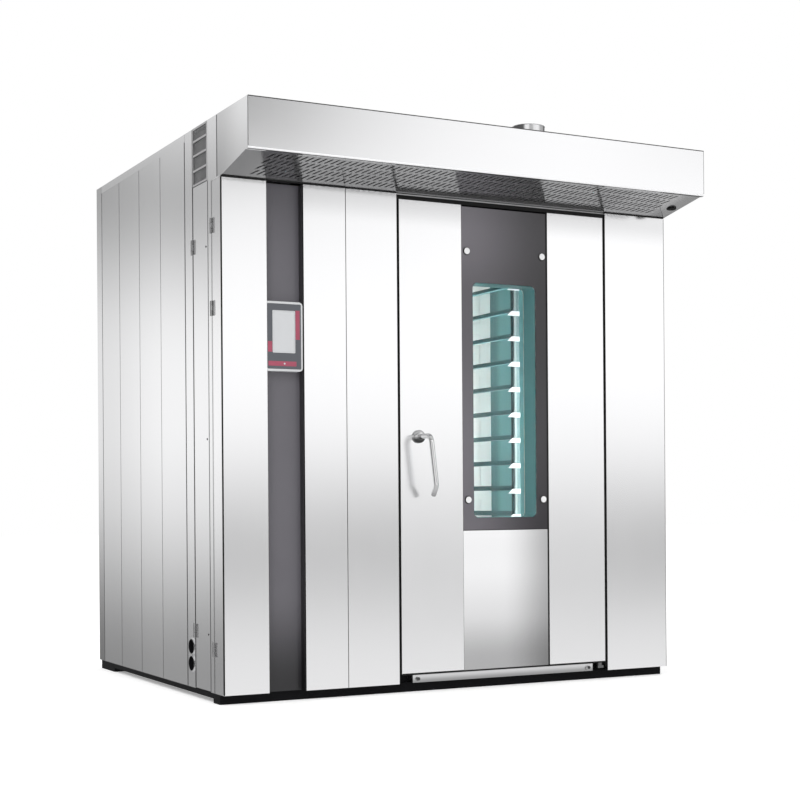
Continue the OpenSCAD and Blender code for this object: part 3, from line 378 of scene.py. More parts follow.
def material(name, effect, values, dark, light, metallic=0.0, bump=0.02, **fixed):
    """Principled finish whose tone, roughness and bump come from a shared effect; FINISH keeps it."""
    mat = bpy.data.materials.new(name)
    mat.use_nodes = True
    tree = mat.node_tree
    shader = tree.nodes["Principled BSDF"]
    node = tree.nodes.new("ShaderNodeGroup")
    node.node_tree = effect
    for label, value in values.items():
        node.inputs[label].default_value = value
    tone = tree.nodes.new("ShaderNodeMix")
    tone.data_type = "RGBA"
    tone.inputs["A"].default_value = (*dark, 1)
    tone.inputs["B"].default_value = (*light, 1)
    tree.links.new(node.outputs["Tone"], tone.inputs["Factor"])
    tree.links.new(tone.outputs["Result"], shader.inputs["Base Color"])
    tree.links.new(node.outputs["Roughness"], shader.inputs["Roughness"])
    lift = tree.nodes.new("ShaderNodeBump")
    lift.inputs["Strength"].default_value = bump
    lift.inputs["Distance"].default_value = BUMP_DEPTH
    tree.links.new(node.outputs["Height"], lift.inputs["Height"])
    tree.links.new(lift.outputs["Normal"], shader.inputs["Normal"])
    shader.inputs["Metallic"].default_value = metallic
    for label, value in fixed.items():
        shader.inputs[label.replace("_", " ")].default_value = value
    FINISH[name] = mat
    return mat


def grey(v):
    """Neutral grey with a trace of blue."""
    return (v, v, v * 1.01)


def grained(name, dark, light, rough, streak=0.05, smudge=0.1, **fixed):
    """Finish with the polishing grain, between two tones."""
    return material(name, GRAIN, {"Rough": rough, "Streak": streak, "Smudge": smudge}, dark, light,
                    **fixed)


def steel(name, level, rough, streak=0.03, smudge=0.03):
    """Bare sheet of one grey level."""
    return grained(name, grey(level * 0.97), grey(level), rough, streak, smudge, metallic=1.0)


def coated(name, dark, light, rough, scale=400, spread=0.15, bump=0.05, **fixed):
    """Paint, plastic, rubber or glass with the fine speckle, between two tones."""
    return material(name, SPECKLE, {"Rough": rough, "Scale": scale, "Spread": spread}, dark, light,
                    bump=bump, **fixed)


def tilted(mat, lean):
    """Leans a finish's mirror image back by a steady slope of its bump, like a sheet with camber."""
    tree = mat.node_tree
    place = tree.nodes.new("ShaderNodeTexCoord")
    split = tree.nodes.new("ShaderNodeSeparateXYZ")
    tree.links.new(place.outputs["Object"], split.inputs["Vector"])
    rise = tree.nodes.new("ShaderNodeBump")
    rise.inputs["Strength"].default_value = 1.0
    rise.inputs["Distance"].default_value = 1.0
    height = calc(tree, "MULTIPLY", split.outputs["Z"], -math.tan(math.radians(lean)))
    tree.links.new(height, rise.inputs["Height"])
    shader = tree.nodes["Principled BSDF"]
    grain = shader.inputs["Normal"].links[0].from_node
    tree.links.new(rise.outputs["Normal"], grain.inputs["Normal"])
    return mat


def with_values(mat, values):
    """Sets plain values on a finish's shader."""
    for label, value in values.items():
        mat.node_tree.nodes["Principled BSDF"].inputs[label].default_value = value


# ---------------------------------------------------------------- finishes

# Bare metal: grey level, roughness and, where they differ, the strength of streaks and smudges
steel("satin_steel", 0.92, 0.15)
steel("side_steel", 0.90, 0.17)
steel("dull_steel", 0.60, 0.35, 0.08, 0.1)
steel("polished_tube", 0.85, 0.12)
steel("gear_steel", 0.42, 0.3, 0.08, 0.12)
# dark grey of the screws and bolts, also used for dark lines on the hood and a painted shadow under its
# lip
steel("dark_grey_and_painted_shadow", 0.10, 0.4)
steel("filter_steel", 0.10, 0.4)
steel("header_steel", 0.44, 0.35)
grained("bronze", (0.50, 0.33, 0.13), (0.62, 0.42, 0.18), 0.3, metallic=1.0)
# painted lamp light: the steel rear air wall is near-white and not metallic, for its glare in the
# chamber lamp
grained("air_wall", (0.98, 0.92, 0.92), (1.0, 0.95, 0.95), 0.5)

# Sheet and tube whose colour changes along the object: painted reflection and painted shade
# painted reflection: the plate below the glass darkens to the right and towards the floor, and a little
# near its top
tilted(shaded(steel("lower_steel", 0.84, 0.16), ("x", 1180, 1450, 1.05, 0.5),
              ("z", 110, 300, 0.78, 1.10), ("z", 440, 580, 1.0, 0.93)), 2.5)
# painted reflection: the hood's bottom is darker at its left and right ends and brighter over its right
# part
shaded(grained("underside_steel", grey(0.50), grey(0.53), 0.16, 0.03, 0.03, metallic=0.86),
       ("x", 20, 260, 0.62, 1.0), ("x", 1640, 1720, 1.0, 1.2), ("x", 1890, 1960, 1.0, 0.62))
# painted reflection: the hood's sheet darkens towards the rear
shaded(steel("hood_steel", 0.94, 0.15), ("y", -240, 20, 1.0, 0.74))
# painted reflection: the rosette's cap is dark at its bottom, brightening up to just above its middle
shaded(steel("rosette_steel", 0.78, 0.14), ("z", 980, 1002, 0.10, 1.0))
# painted reflection: the lever darkens towards its lower end
shaded(grained("lever_steel", grey(0.86), grey(0.90), 0.10, 0.0, 0.01, metallic=1.0, bump=0.0),
       ("z", 752, 800, 0.55, 1.0))
# painted shadow of the hood: the door's and the front panels' sheet darkens near their tops
tilted(shaded(steel("door_steel", 0.96, 0.19), ("z", 1800, 1890, 1.0, 0.80)), 0.3)
shaded(steel("panel_steel", 0.92, 0.15), ("z", 1800, 1900, 1.0, 0.82))
# painted shade: the hinges darken beyond x 1640, at the oven door's pivots, and almost to black above z
# 1912, under the header
shaded(steel("hinge_steel", 0.52, 0.35, 0.08, 0.1), ("x", 1600, 1640, 1.0, 0.35),
       ("z", 1900, 1912, 1.0, 0.15))
# painted shade: the threshold bar darkens towards its foot
shaded(steel("sill_steel", 0.80, 0.3), ("z", 40, 64, 0.5, 1.0))
shaded(steel("hinged_steel", 0.92, 0.15), ("x", -0.7, -0.3, 0.5, 1.0))
shaded(steel("hinged_side", 0.90, 0.17), ("x", -0.7, -0.3, 0.5, 1.0))
# painted reflection: the side panels darken towards the rear
shaded(steel("side_sheet", 0.90, 0.17), ("y", 560, 1480, 1.0, 0.80))
# painted reflection: the corner posts darken towards the floor, and the rear ones are darker all over
shaded(steel("post_steel", 0.90, 0.17), ("y", 1470, 1482, 1.0, 0.8), ("z", 80, 980, 0.58, 1.0))
# painted teal light: the chamber's steel walls are teal for the tinted light inside the oven, not for
# any tint of the steel; painted shade darkens them at the front and towards the rear
shaded(grained("teal_painted_light", (0.15, 0.37, 0.385), (0.22, 0.44, 0.455), 0.5),
       ("y", 1060, 1130, 1.0, 0.62), ("y", 780, 900, 0.6, 1.0))
# painted shade and painted teal light: the rack's steel is dark grey-teal, and darker and more teal
# behind its front face and on the right part of its posts
shaded(grained("rack_steel", (0.17, 0.21, 0.22), (0.20, 0.24, 0.25), 0.35),
       ("y", 336, 345, 1.0, (0.35, 0.80, 0.85)), ("x", 1452, 1458, 1.0, (0.34, 0.50, 0.51)))
COLLAR = span("exhaust_collar")[0][0]         # left edge of the collar
PAINTED_REFLECTION_BANDS = [(31, 41, 0.12, 1.0), (47, 55, 1.0, 0.55), (61, 71, 1.0, 1.8), (87, 101, 1.0, 0.6),
         (113, 125, 1.0, 0.15)]               # dark and bright bands that a polished tube shows
# painted reflection: the collar's colour carries the dark and bright bands of a polished tube
shaded(grained("collar_steel", grey(0.90), grey(0.94), 0.25, 0.03, 0.03, metallic=0.2),
       *[("x", COLLAR + a, COLLAR + b, low, high) for a, b, low, high in PAINTED_REFLECTION_BANDS])

# Paint, plastic, rubber, wool and glass: two tones, and roughness
for finish in ("black_paint", "port_black"):
    coated(finish, (0.004, 0.004, 0.005), (0.007, 0.007, 0.008), 0.6, Specular_IOR_Level=0.1)
coated("dark_glass", (0.05, 0.047, 0.052), (0.06, 0.056, 0.062), 0.08, bump=0.0)
coated("black_rubber", (0.008, 0.008, 0.008), (0.014, 0.014, 0.014), 0.6, Specular_IOR_Level=0.2)
coated("wheel_rubber", (0.05, 0.05, 0.055), (0.07, 0.07, 0.075), 0.55)
coated("mineral_wool", (0.45, 0.36, 0.16), (0.62, 0.52, 0.28), 0.9, 120, 0.2, 0.8)
coated("motor_paint", (0.035, 0.055, 0.09), (0.05, 0.075, 0.12), 0.4)
coated("cast_housing", (0.05, 0.05, 0.055), (0.08, 0.08, 0.085), 0.6, 180, 0.2, 0.4)
coated("grey_plastic", (0.50, 0.50, 0.48), (0.58, 0.58, 0.56), 0.5)
coated("screen", (0.55, 0.56, 0.575), (0.61, 0.62, 0.635), 0.12, bump=0.0)
# painted teal light and shade: the channel between the panes is dark teal for the tinted light seen
# through the glass
coated("channel_teal", (0.075, 0.235, 0.245), (0.10, 0.275, 0.285), 0.4)
coated("slate_face", (0.088, 0.092, 0.105), (0.098, 0.104, 0.118), 0.35, bump=0.02)
# pale rim of the control plate and the screen: the plate's silver edge, its brightness partly a painted
# highlight
coated("silver_edge", (0.55, 0.56, 0.57), (0.64, 0.65, 0.66), 0.35, bump=0.02)
coated("red_light", (0.33, 0.06, 0.10), (0.39, 0.08, 0.13), 0.3, bump=0.0)
coated("black_plastic", (0.03, 0.03, 0.032), (0.05, 0.05, 0.052), 0.4)
coated("wire_blue", (0.03, 0.06, 0.22), (0.04, 0.08, 0.28), 0.4)
# painted highlight: white, not metallic, for the shine on the hood's rolled lip and on the glass
# fixings' caps
coated("bright_edge", (0.84, 0.84, 0.85), (0.90, 0.90, 0.91), 0.35, bump=0.01)
coated("seam_grey", (0.035, 0.035, 0.037), (0.05, 0.05, 0.052), 0.5)
coated("mesh_grey", (0.10, 0.10, 0.105), (0.14, 0.14, 0.145), 0.6)
coated("runner_white", (0.74, 0.75, 0.78), (0.80, 0.81, 0.84), 0.3, bump=0.01)
# painted shadow: near-black teal for the strips beside the rack's posts
coated("teal_painted_shadow", (0.004, 0.03, 0.035), (0.008, 0.045, 0.05), 0.5)
# the glass's dark print, with painted reflection: lighter to the left, darker to the right and in its
# upper middle, and a painted highlight at its top
shaded(coated("printed_glass_and_painted_reflection", (0.078, 0.073, 0.083), (0.086, 0.081, 0.091), 0.12, bump=0.0),
       ("x", 1011, 1405, 1.75, 0.42), ("z", 900, 1480, 1.0, 0.62), ("z", 1560, 1850, 1.0, 1.9))
# the strip's anthracite paint, with painted reflection darkening it towards the floor and painted shade
# blackening its right return in the recess
shaded(coated("strip_paint_and_painted_shade", (0.115, 0.11, 0.125), (0.135, 0.13, 0.145), 0.35),
       ("z", 60, 430, 0.16, 1.0), ("x", 324.4, 325.2, 1.0, 0.05))
# Clear pane with faint cleaning marks, and the glowing glass of the chamber lamp
GLASS_TINT = (0.992, 0.997, 1.0)
with_values(coated("clear_glass", GLASS_TINT, GLASS_TINT, 0.02, 60, 0.02, 0.0),
            {"Transmission Weight": 1.0, "IOR": 1.12})
with_values(coated("lamp_glass", (0.9, 0.9, 0.85), (1.0, 1.0, 0.95), 0.4, bump=0.0),
            {"Emission Color": (1.0, 0.97, 0.92, 1), "Emission Strength": 145.0})

# Nodes whose finish differs from that of their material slot
SPECIAL = {"exhaust_collar": "collar_steel", "side_panels": "side_sheet", "corner_posts": "post_steel",
           "service_door": "hinged_side", "rear_panels": "side_steel", "chamber_walls": "teal_painted_light",
           "rear_air_wall": "air_wall", "rack_frame": "rack_steel", "frame_hinges": "hinge_steel",
           "front_panels": "panel_steel", "door_skins": "door_steel", "hood_filters": "filter_steel",
           "hood_shell": "hood_steel", "service_ports": "side_steel", "threshold_bar": "sill_steel",
           "control_door_panel": "hinged_steel", "control_panel": "silver_edge",
           "control_strip": "strip_paint_and_painted_shade", "hood_underside": "underside_steel"}


def dress_frame():
    """Every node of the frame gets the finish of its slot, or a special one."""
    for row in frame["record"]["subparts"]:
        node = NODES[row["node"]]
        node.data.materials.clear()
        node.data.materials.append(FINISH[SPECIAL.get(row["node"], row["material_slot"])])


# ---------------------------------------------------------------- surfaces

def corner_loop(w, h, r, n=5):
    """Rounded rectangle w x h about the origin: at each corner an arc of n points. Gives the
    arcs' centres C and their unit directions U, so that the outline is C + r U."""
    quarter = np.repeat(np.arange(4), n)
    angle = quarter * np.pi / 2 + np.tile(np.linspace(0, np.pi / 2, n), 4)
    side = np.sign(np.stack([np.cos(quarter * np.pi / 2 + np.pi / 4),
                             np.sin(quarter * np.pi / 2 + np.pi / 4)], -1))
    centres = side * (w / 2 - r, h / 2 - r)
    return centres, np.stack([np.cos(angle), np.sin(angle)], -1)


def capped(grid):
    """A grid whose columns run round, closed at both ends by its rows' middles."""
    ends = [np.repeat(grid[k].mean(0)[None], grid.shape[1], 0)[None] for k in (0, -1)]
    return np.concatenate([ends[0], grid, ends[1]])


def bar(lo, hi, r, axis, n=3):
    """Rounded bar along an axis: its section is a rounded rectangle, drawn in at both ends by
    r (1 - sin a) while it rises by r (1 - cos a), for a from a small angle to a quarter circle."""
    lo, hi = np.array(lo, float), np.array(hi, float)
    u, v = [k for k in range(3) if k != axis]
    a = np.linspace(0.2, np.pi / 2, n)
    draw, rise = r * (1 - np.sin(a)), r * (1 - np.cos(a))
    along = np.concatenate([lo[axis] + rise, hi[axis] - rise[::-1]])
    draw = np.concatenate([draw, draw[::-1]])
    size, mid = hi - lo, (hi + lo) / 2
    centres, unit = corner_loop(size[u], size[v], r)
    flat = centres[None] + (r - draw)[:, None, None] * unit[None]
    grid = np.empty((len(draw), flat.shape[1], 3))
    grid[..., u], grid[..., v] = flat[..., 0] + mid[u], flat[..., 1] + mid[v]
    grid[..., axis] = along[:, None]
    return capped(grid)


def hoop(lo, hi, r, section, n=8):
    """Section carried round an upright rounded rectangle from lo to hi (x, z) of corner radius r:
    section points are (outwards, depth)."""
    lo, hi = np.array(lo, float), np.array(hi, float)
    centres, unit = corner_loop(*(hi - lo), r, n)
    section = np.array([*section, section[0]], float)
    flat = centres[None] + (r + section[:, 0])[:, None, None] * unit[None] + (lo + hi) / 2
    depth = np.broadcast_to(section[:, 1][:, None], flat.shape[:2])
    return np.stack([flat[..., 0], depth, flat[..., 1]], -1)


def plate(lo, hi, r, hole_lo, hole_hi, hole_r, y0, y1, edge=0.8, n=8):
    """Upright plate with a rounded hole: rings of the outer and of the hole's outline, joined
    front and back, with the front edges bevelled by edge. A ring is C + r U of corner_loop."""
    out_c, unit = corner_loop(*(np.array(hi, float) - lo), r, n)
    in_c, _ = corner_loop(*(np.array(hole_hi, float) - hole_lo), hole_r, n)
    out_mid, in_mid = (np.array(lo) + hi) / 2, (np.array(hole_lo) + hole_hi) / 2
    rings = [(out_c + out_mid, r, y1), (out_c + out_mid, r, y0 + edge),
             (out_c + out_mid, r - edge, y0), (in_c + in_mid, hole_r + edge, y0),
             (in_c + in_mid, hole_r, y0 + edge), (in_c + in_mid, hole_r, y1)]
    rows = [np.insert(c + radius * unit, 1, y, axis=-1) for c, radius, y in rings]
    return np.stack([*rows, rows[0]])


def pane(lo, hi, r, y0, y1, n=8):
    """Flat pane with rounded corners: the outline C + r U of corner_loop at two depths, closed."""
    centres, unit = corner_loop(*(np.array(hi, float) - lo), r, n)
    flat = centres + r * unit + (np.array(lo) + hi) / 2
    return capped(np.stack([np.insert(flat, 1, y, axis=-1) for y in (y0, y1)]))


WAYS = {"front": ((1, 0, 0), (0, 0, 1), (0, -1, 0)), "left": ((0, 1, 0), (0, 0, 1), (-1, 0, 0)),
        "up": ((1, 0, 0), (0, 1, 0), (0, 0, 1)), "back": ((1, 0, 0), (0, 0, 1), (0, 1, 0)),
        "down": ((1, 0, 0), (0, 1, 0), (0, 0, -1))}


def lathe(profile, centre, way, n=20):
    """Profile of (radius, height) points turned about an axis w through centre:
    centre + radius (u cos a + v sin a) + height w."""
    u, v, w = np.array(WAYS[way], float)
    profile = np.array(profile, float)
    a = np.linspace(0, 2 * np.pi, n, endpoint=False)[None, :, None]
    return (np.array(centre, float) + profile[:, :1, None] * (np.cos(a) * u + np.sin(a) * v)
            + profile[:, 1:, None] * w)


def tube(path, r, n=8):
    """Round tube along a path that is first made finer and smoothed: rings square to its tangent,
    centre + r (side cos a + other sin a). No path here runs along the direction that sets side."""
    path = np.array(path, float)
    fine = np.linspace(0, len(path) - 1, 6 * len(path))
    path = np.stack([np.interp(fine, np.arange(len(path)), path[:, k]) for k in range(3)], -1)
    for _ in range(4):
        path[1:-1] = (path[:-2] + 2 * path[1:-1] + path[2:]) / 4
    ahead = np.gradient(path, axis=0)
    ahead /= np.linalg.norm(ahead, axis=1)[:, None]
    side = np.cross(ahead, (0.31, 0.87, 0.39))
    side /= np.linalg.norm(side, axis=1)[:, None]
    other = np.cross(ahead, side)
    a = np.linspace(0, 2 * np.pi, n, endpoint=False)[None, :, None]
    return capped(path[:, None] + r * (np.cos(a) * side[:, None] + np.sin(a) * other[:, None]))


def piece(name, grids, finish, body, stands_for=(), smooth=35):
    """One closed piece from grids of points in millimetres: quads between the rows, doubles merged
    within a micrometre, faces outwards. It rides on body, and takes the place of stands_for."""
    points, quads, start = [], [], 0
    for grid in grids:
        index = start + np.arange(grid.shape[0] * grid.shape[1]).reshape(grid.shape[:2])
        after = np.roll(index, -1, axis=1)
        quads.append(np.stack([index[:-1], after[:-1], after[1:], index[1:]], -1).reshape(-1, 4))
        points.append(grid.reshape(-1, 3))
        start += index.size
    points = np.concatenate(points) * MM + (LEFT, FRONT, 0)
    mesh = bpy.data.meshes.new(name)
    mesh.from_pydata(points.tolist(), [], np.concatenate(quads).tolist())
    work = bmesh.new()
    work.from_mesh(mesh)
    bmesh.ops.remove_doubles(work, verts=work.verts, dist=1e-6)
    bmesh.ops.dissolve_degenerate(work, edges=work.edges, dist=1e-7)
    bmesh.ops.recalc_face_normals(work, faces=work.faces)
    work.to_mesh(mesh)
    work.free()
    mesh.shade_smooth()
    mesh.set_sharp_from_angle(angle=math.radians(smooth))
    mesh.materials.append(FINISH[finish])
    obj = bpy.data.objects.new(name, mesh)
    bpy.context.scene.collection.objects.link(obj)
    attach(obj, body)
    if stands_for:
        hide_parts(*stands_for)


def dome(r, h, n=4):
    """Profile of a shallow dome of radius r and height h: r cos a, h sin a."""
    a = np.linspace(0, np.pi / 2, n)
    return [(0, -0.5), (r, -0.5), *zip(r * np.cos(a), h * np.sin(a))]


# ---------------------------------------------------------------- the oven door

def glass_pieces():
    """Printed glass with its clear window, the channel behind it, and the bulb seal: a round bulb
    on a flat foot, on the back of the leaf."""
    glass, inner, seal = span("door_glass"), span("inner_glass"), span("door_gasket")
    lap = 14                                   # the inner pane laps the window by this much
    win = [inner[0][[0, 2]] + lap, inner[1][[0, 2]] - lap]
    win_r = 22                                 # corner radius of the window
    back = glass[1][1]
    lo, hi = glass[0][[0, 2]], glass[1][[0, 2]]
    piece("glass_print", [plate(lo, hi, 3, *win, win_r, 0.0, back)], "printed_glass_and_painted_reflection", "oven_door",
          ["door_glass"])
    piece("window_pane", [pane(win[0] + 0.3, win[1] - 0.3, win_r, 1.0, back - 1)], "clear_glass",
          "oven_door", ["door_glass"])
    piece("window_channel", [hoop(*win, win_r, [(-1.4, back + 0.1), (-0.3, back + 0.1),
                                                (-0.3, inner[0][1] - 0.1), (-1.4, inner[0][1] - 0.1)])],
          "channel_teal", "oven_door")
    a = np.linspace(-0.2 * np.pi, 1.2 * np.pi, 12)
    bulb = list(zip(-6 + 5.2 * np.cos(a), seal[1][1] - 4 + 3.9 * np.sin(a)))
    foot = [(-10.5, seal[0][1] + 0.2), (-1.5, seal[0][1] + 0.2)]
    piece("bulb_seal", [hoop(seal[0][[0, 2]], seal[1][[0, 2]], 14, [*bulb, *foot])], "black_rubber",
          "oven_door", ["door_gasket"])


def fixing_pieces():
    """The four round fixings of the glass, each a dark washer and a shallow cap with a turned
    groove whose white is a painted highlight, and the domed cap of the handle's rosette, open in the
    middle for the lever, with a painted reflection that darkens its lower half."""
    lo, hi = (p[[0, 2]] for p in span("door_glass"))
    rims, caps = [], []
    for x, z in [(x, z) for x in (lo[0] + 23, hi[0] - 20) for z in (lo[1] + 120, hi[1] - 176)]:
        rims.append(lathe([(0, -1.5), (15.2, -1.5), (16.2, -0.6), (15.2, 0.2), (0, 0.2)],
                          (x, -1.0, z), "front"))
        caps.append(lathe([(0, 0), (12.4, 0), (12.4, 1.0), (11.4, 1.9), (5.2, 2.1), (4.4, 1.2),
                           (0, 1.2)], (x, -5.05, z), "front"))
    piece("fixing_washers", rims, "black_rubber", "oven_door")
    piece("fixing_caps", caps, "bright_edge", "oven_door")
    a = np.linspace(0, np.pi / 2, 7)
    cap = [(10.7, 1), (25.4, 0.2), (25.6, 6.5), *zip(10.7 + 14.9 * np.cos(a), 7.5 + 8.5 * np.sin(a)),
           (10.7, 1)]
    piece("rosette_cap", [lathe(cap, (SPINDLE[0], 0, SPINDLE[1]), "front", 32)], "rosette_steel",
          "oven_door")


def leaf_pieces():
    """Brushed cover of the plate below the glass, the black joints round both, and the sweep."""
    skins, (lo, hi) = span("door_skins"), (p[[0, 2]] for p in span("door_glass"))
    piece("lower_cover", [pane((lo[0] + 0.5, skins[0][2] + 1.5), (hi[0] - 0.5, lo[1] - 3), 1.5,
                               -0.7, -0.05)], "lower_steel", "oven_door")
    z0, z1 = skins[0][2] + 2, skins[1][2] - 2
    joints = [bar((lo[0] - 1.2, 2.5, z0), (lo[0] - 0.1, 5, z1), 0.5, 2),
              bar((hi[0] + 0.1, 1.0, z0), (hi[0] + 7.2, 5, z1), 0.5, 2),
              bar((lo[0] - 1, 2, lo[1] - 2.2), (hi[0] + 7, 5, lo[1] + 0.4), 0.5, 0)]
    piece("glass_joints", joints, "black_rubber", "oven_door")
    piece("door_sweep", [bar((skins[0][0] + 1, -0.6, skins[0][2] - 4),
                             (skins[1][0] - 1, 4, skins[0][2] + 2.5), 0.6, 0)],
          "black_rubber", "oven_door")


def lever_piece():
    """Bent tube of the handle: out of the door, an elbow, the straight fall, and a tail turned
    back to the door; with the arm and the pin that draw the bolt."""
    r, out, bend = 10.0, 101, 22               # tube's radius, reach from the door, elbows' radius
    kick, tail, lean = math.radians(41), 40, math.radians(6.7)
    hidden = 41                                # length of the spindle inside the door
    arm_w, arm_l, pin_r, pin_l = 14, 27, 3, 16
    x, z = SPINDLE
    low = span("handle_lever")[0][2]
    fall = (z - low - r * math.cos(kick - lean)) / math.cos(lean)
    grip = fall - bend - bend * math.sin(kick) - tail * math.cos(kick)
    a = np.linspace(0, np.pi / 2, 9)
    b = np.linspace(0, kick, 6)
    along = np.concatenate([[0, 0], bend * (1 - np.cos(a)), bend + grip + bend * np.sin(b),
                            [bend + grip + bend * math.sin(kick) + tail * math.cos(kick)]])
    away = np.concatenate([[-hidden, 0], out - bend + bend * np.sin(a), out - bend + bend * np.cos(b),
                           [out - bend + bend * math.cos(kick) - tail * math.sin(kick)]])
    path = np.stack([x + along * math.sin(lean), -away, z - along * math.cos(lean)], -1)
    arm = bar((x - arm_w / 2, 36.5, z - arm_l), (x + arm_w / 2, 40, z), 0.5, 2)
    pin = lathe([(0, 0), (pin_r, 0), (pin_r, pin_l), (0, pin_l)], (x, 38, z - arm_l + 5), "front", 16)
    piece("lever_tube", [tube(path, r, 24), arm, pin], "lever_steel", "handle",
          ["handle_lever"], smooth=50)


# ---------------------------------------------------------------- front, hood and shell

def front_pieces():
    """Black seals in the seams of the front and on top of its panels, the strip above the door and
    the black cover below it."""
    panels, skins = span("front_panels"), span("door_skins")
    foot, top, right = panels[0][2] + 1, panels[1][2], panels[1][0]
    bottom, left_door, right_door = skins[0][2] - 20, skins[0][0], skins[1][0]
    seams = [bar((left_door - 10.5, 10, bottom), (left_door - 0.8, 14, top - 1), 0.6, 2),
             bar((right_door + 6, 9, bottom), (right_door + 12.6, 13, top - 1), 0.6, 2),
             bar((NARROW_R - 0.3, -0.3, foot), (NARROW_R + 2.4, 8, top - 1), 0.3, 2),
             bar((right - 2.5, -0.3, foot), (right - 0.2, 2, top - 1), 0.5, 2)]
    piece("seam_seals", seams, "black_rubber", "root")
    runs = ((2, NARROW_R, 4.2), (NARROW_R, left_door - 11, 2.0), (right_door + 13, right - 2, 2.0))
    beads = [bar((x0, -2.2 - r, top + 0.2), (x1, 2.5, top + 0.2 + 2 * r), min(r, 3) * 0.9, 0)
             for x0, x1, r in runs]
    piece("top_seals", beads, "black_rubber", "root")
    joint = skins[1][2] + 17                   # where the cover ends and the strip begins
    x0, x1 = left_door - 10, right_door + 12
    piece("header_cover", [bar((x0, 4, skins[1][2] + 1.5), (x1, 10, joint), 1.5, 0)],
          "black_rubber", "root")
    piece("header_strip", [bar((x0, 4, joint + 0.2), (x1, 10, top + 2), 1, 0)], "header_steel",
          "root")


def control_pieces():
    """Face of the control plate, its three red light bars and its dot, the rim of the screen, and
    the black edge of the control door."""
    panel, screen = span("control_panel"), span("control_screen")
    lo, hi = panel[0][[0, 2]] + (0.0, 8.0), panel[1][[0, 2]] - (6.5, 8.0)
    hole = [screen[0][[0, 2]] - 0.5, screen[1][[0, 2]] + 0.5]
    y = panel[0][1]
    piece("panel_face", [plate(lo, hi, 4, *hole, 1.2, y - 0.5, y + 0.6, 0.3)], "slate_face",
          "control_door")
    right, left, low = hole[1][0], hole[0][0], hole[0][1]

    def light(x0, z0, x1, z1, axis):
        """Flat bar that stands just proud of the face."""
        return bar((x0, y - 0.9, z0), (x1, y - 0.3, z1), 0.28, axis)

    # to the right and to the left of the screen, and below it
    bars = [light(right + 3, 1350, right + 20, 1459, 2), light(lo[0] + 2, 1302, left - 3, 1341, 2),
            light(lo[0] + 4, low - 51, right + 6, low - 33, 0)]
    piece("light_bars", bars, "red_light", "control_door")
    piece("touch_dot", [lathe([(0, 0), (3.6, 0), (3.2, 0.5), (0, 0.6)], (250, y - 0.8, low - 42),
                              "front", 16)], "screen", "control_door")
    piece("screen_rim", [hoop(*hole, 1.2, [(-0.4, y - 0.7), (1.8, y - 0.7), (1.8, y - 0.2),
                                           (-0.4, y - 0.2)], 4)], "silver_edge", "control_door")
    door = span("control_door_panel")
    piece("corner_seal", [bar((0.2, 0.4, door[0][2] + 1), (4.9, 3.9, door[1][2] - 1), 1.6, 2)],
          "black_rubber", "control_door")


def hood_pieces():
    """Rolled lip of the hood's front, white as a painted highlight; dark lines along its top edge and
    corners, and a painted shadow under the lip; the grommet in its bottom, the collar's bead.
    """
    fascia, collar = span("hood_fascia"), span("exhaust_collar")
    x0, x1, y0, z0, z1 = fascia[0][0], fascia[1][0], fascia[0][1], fascia[0][2], fascia[1][2]
    a, r = np.linspace(0, 2 * np.pi, 14, endpoint=False), 4.2     # round the rolled lip, its radius
    ring = np.stack([np.zeros(14), y0 + 3.0 + r * np.cos(a), z0 + 4.4 + r * np.sin(a)], -1)
    roll = np.stack([ring + (x, 0, 0) for x in (x0 + 0.5, x1 - 0.5)])
    # painted highlight: the rolled lip is white
    piece("hood_lip", [capped(roll)], "bright_edge", "root")
    # dark lines along the front's top edge and both corners, and below the lip a strip that is a painted
    # shadow
    lines = [bar((x0, y0 - 0.6, z1 - 3.4), (x1, y0 + 3, z1 + 0.3), 0.5, 0),
             bar((x0 - 0.3, y0 - 0.4, z0 + 9), (x0 + 1.4, y0 + 2, z1 - 3), 0.4, 2),
             bar((x1 - 1.4, y0 - 0.4, z0 + 9), (x1 + 0.3, y0 + 2, z1 - 3), 0.4, 2),
             bar((x0 + 1, y0 + 5, z0 - 0.8), (x1 - 1, y0 + 10, z0 + 0.3), 0.4, 0)]
    piece("hood_dark_lines_and_shadow", lines, "dark_grey_and_painted_shadow", "root")
    bottom = span("hood_underside")
    slope = (bottom[1][2] - 2 - bottom[0][2]) / (bottom[1][1] - bottom[0][1])
    gx, gy = 1960, -107                        # the grommet's place
    gz = bottom[0][2] + (bottom[1][1] - gy) * slope
    piece("hood_grommet", [lathe([(0, -6), (14, -6), (20, -1), (21, 2), (17, 6), (9, 6.5), (8, 3),
                                  (0, 3)], (gx, gy, gz), "down", 24)], "black_rubber", "root")
    cx, cy = (collar[0][:2] + collar[1][:2]) / 2
    r, top = 66.0, collar[1][2]                # outer radius and rim of the collar
    b = np.linspace(0, 2 * np.pi, 10, endpoint=False)
    bead = [(r + 0.2 + 1.6 * np.cos(t), 1.6 * np.sin(t)) for t in b]
    piece("collar_bead", [lathe([*bead, bead[0]], (cx, cy, top - 1.7), "up", 48)], "polished_tube",
          "root")


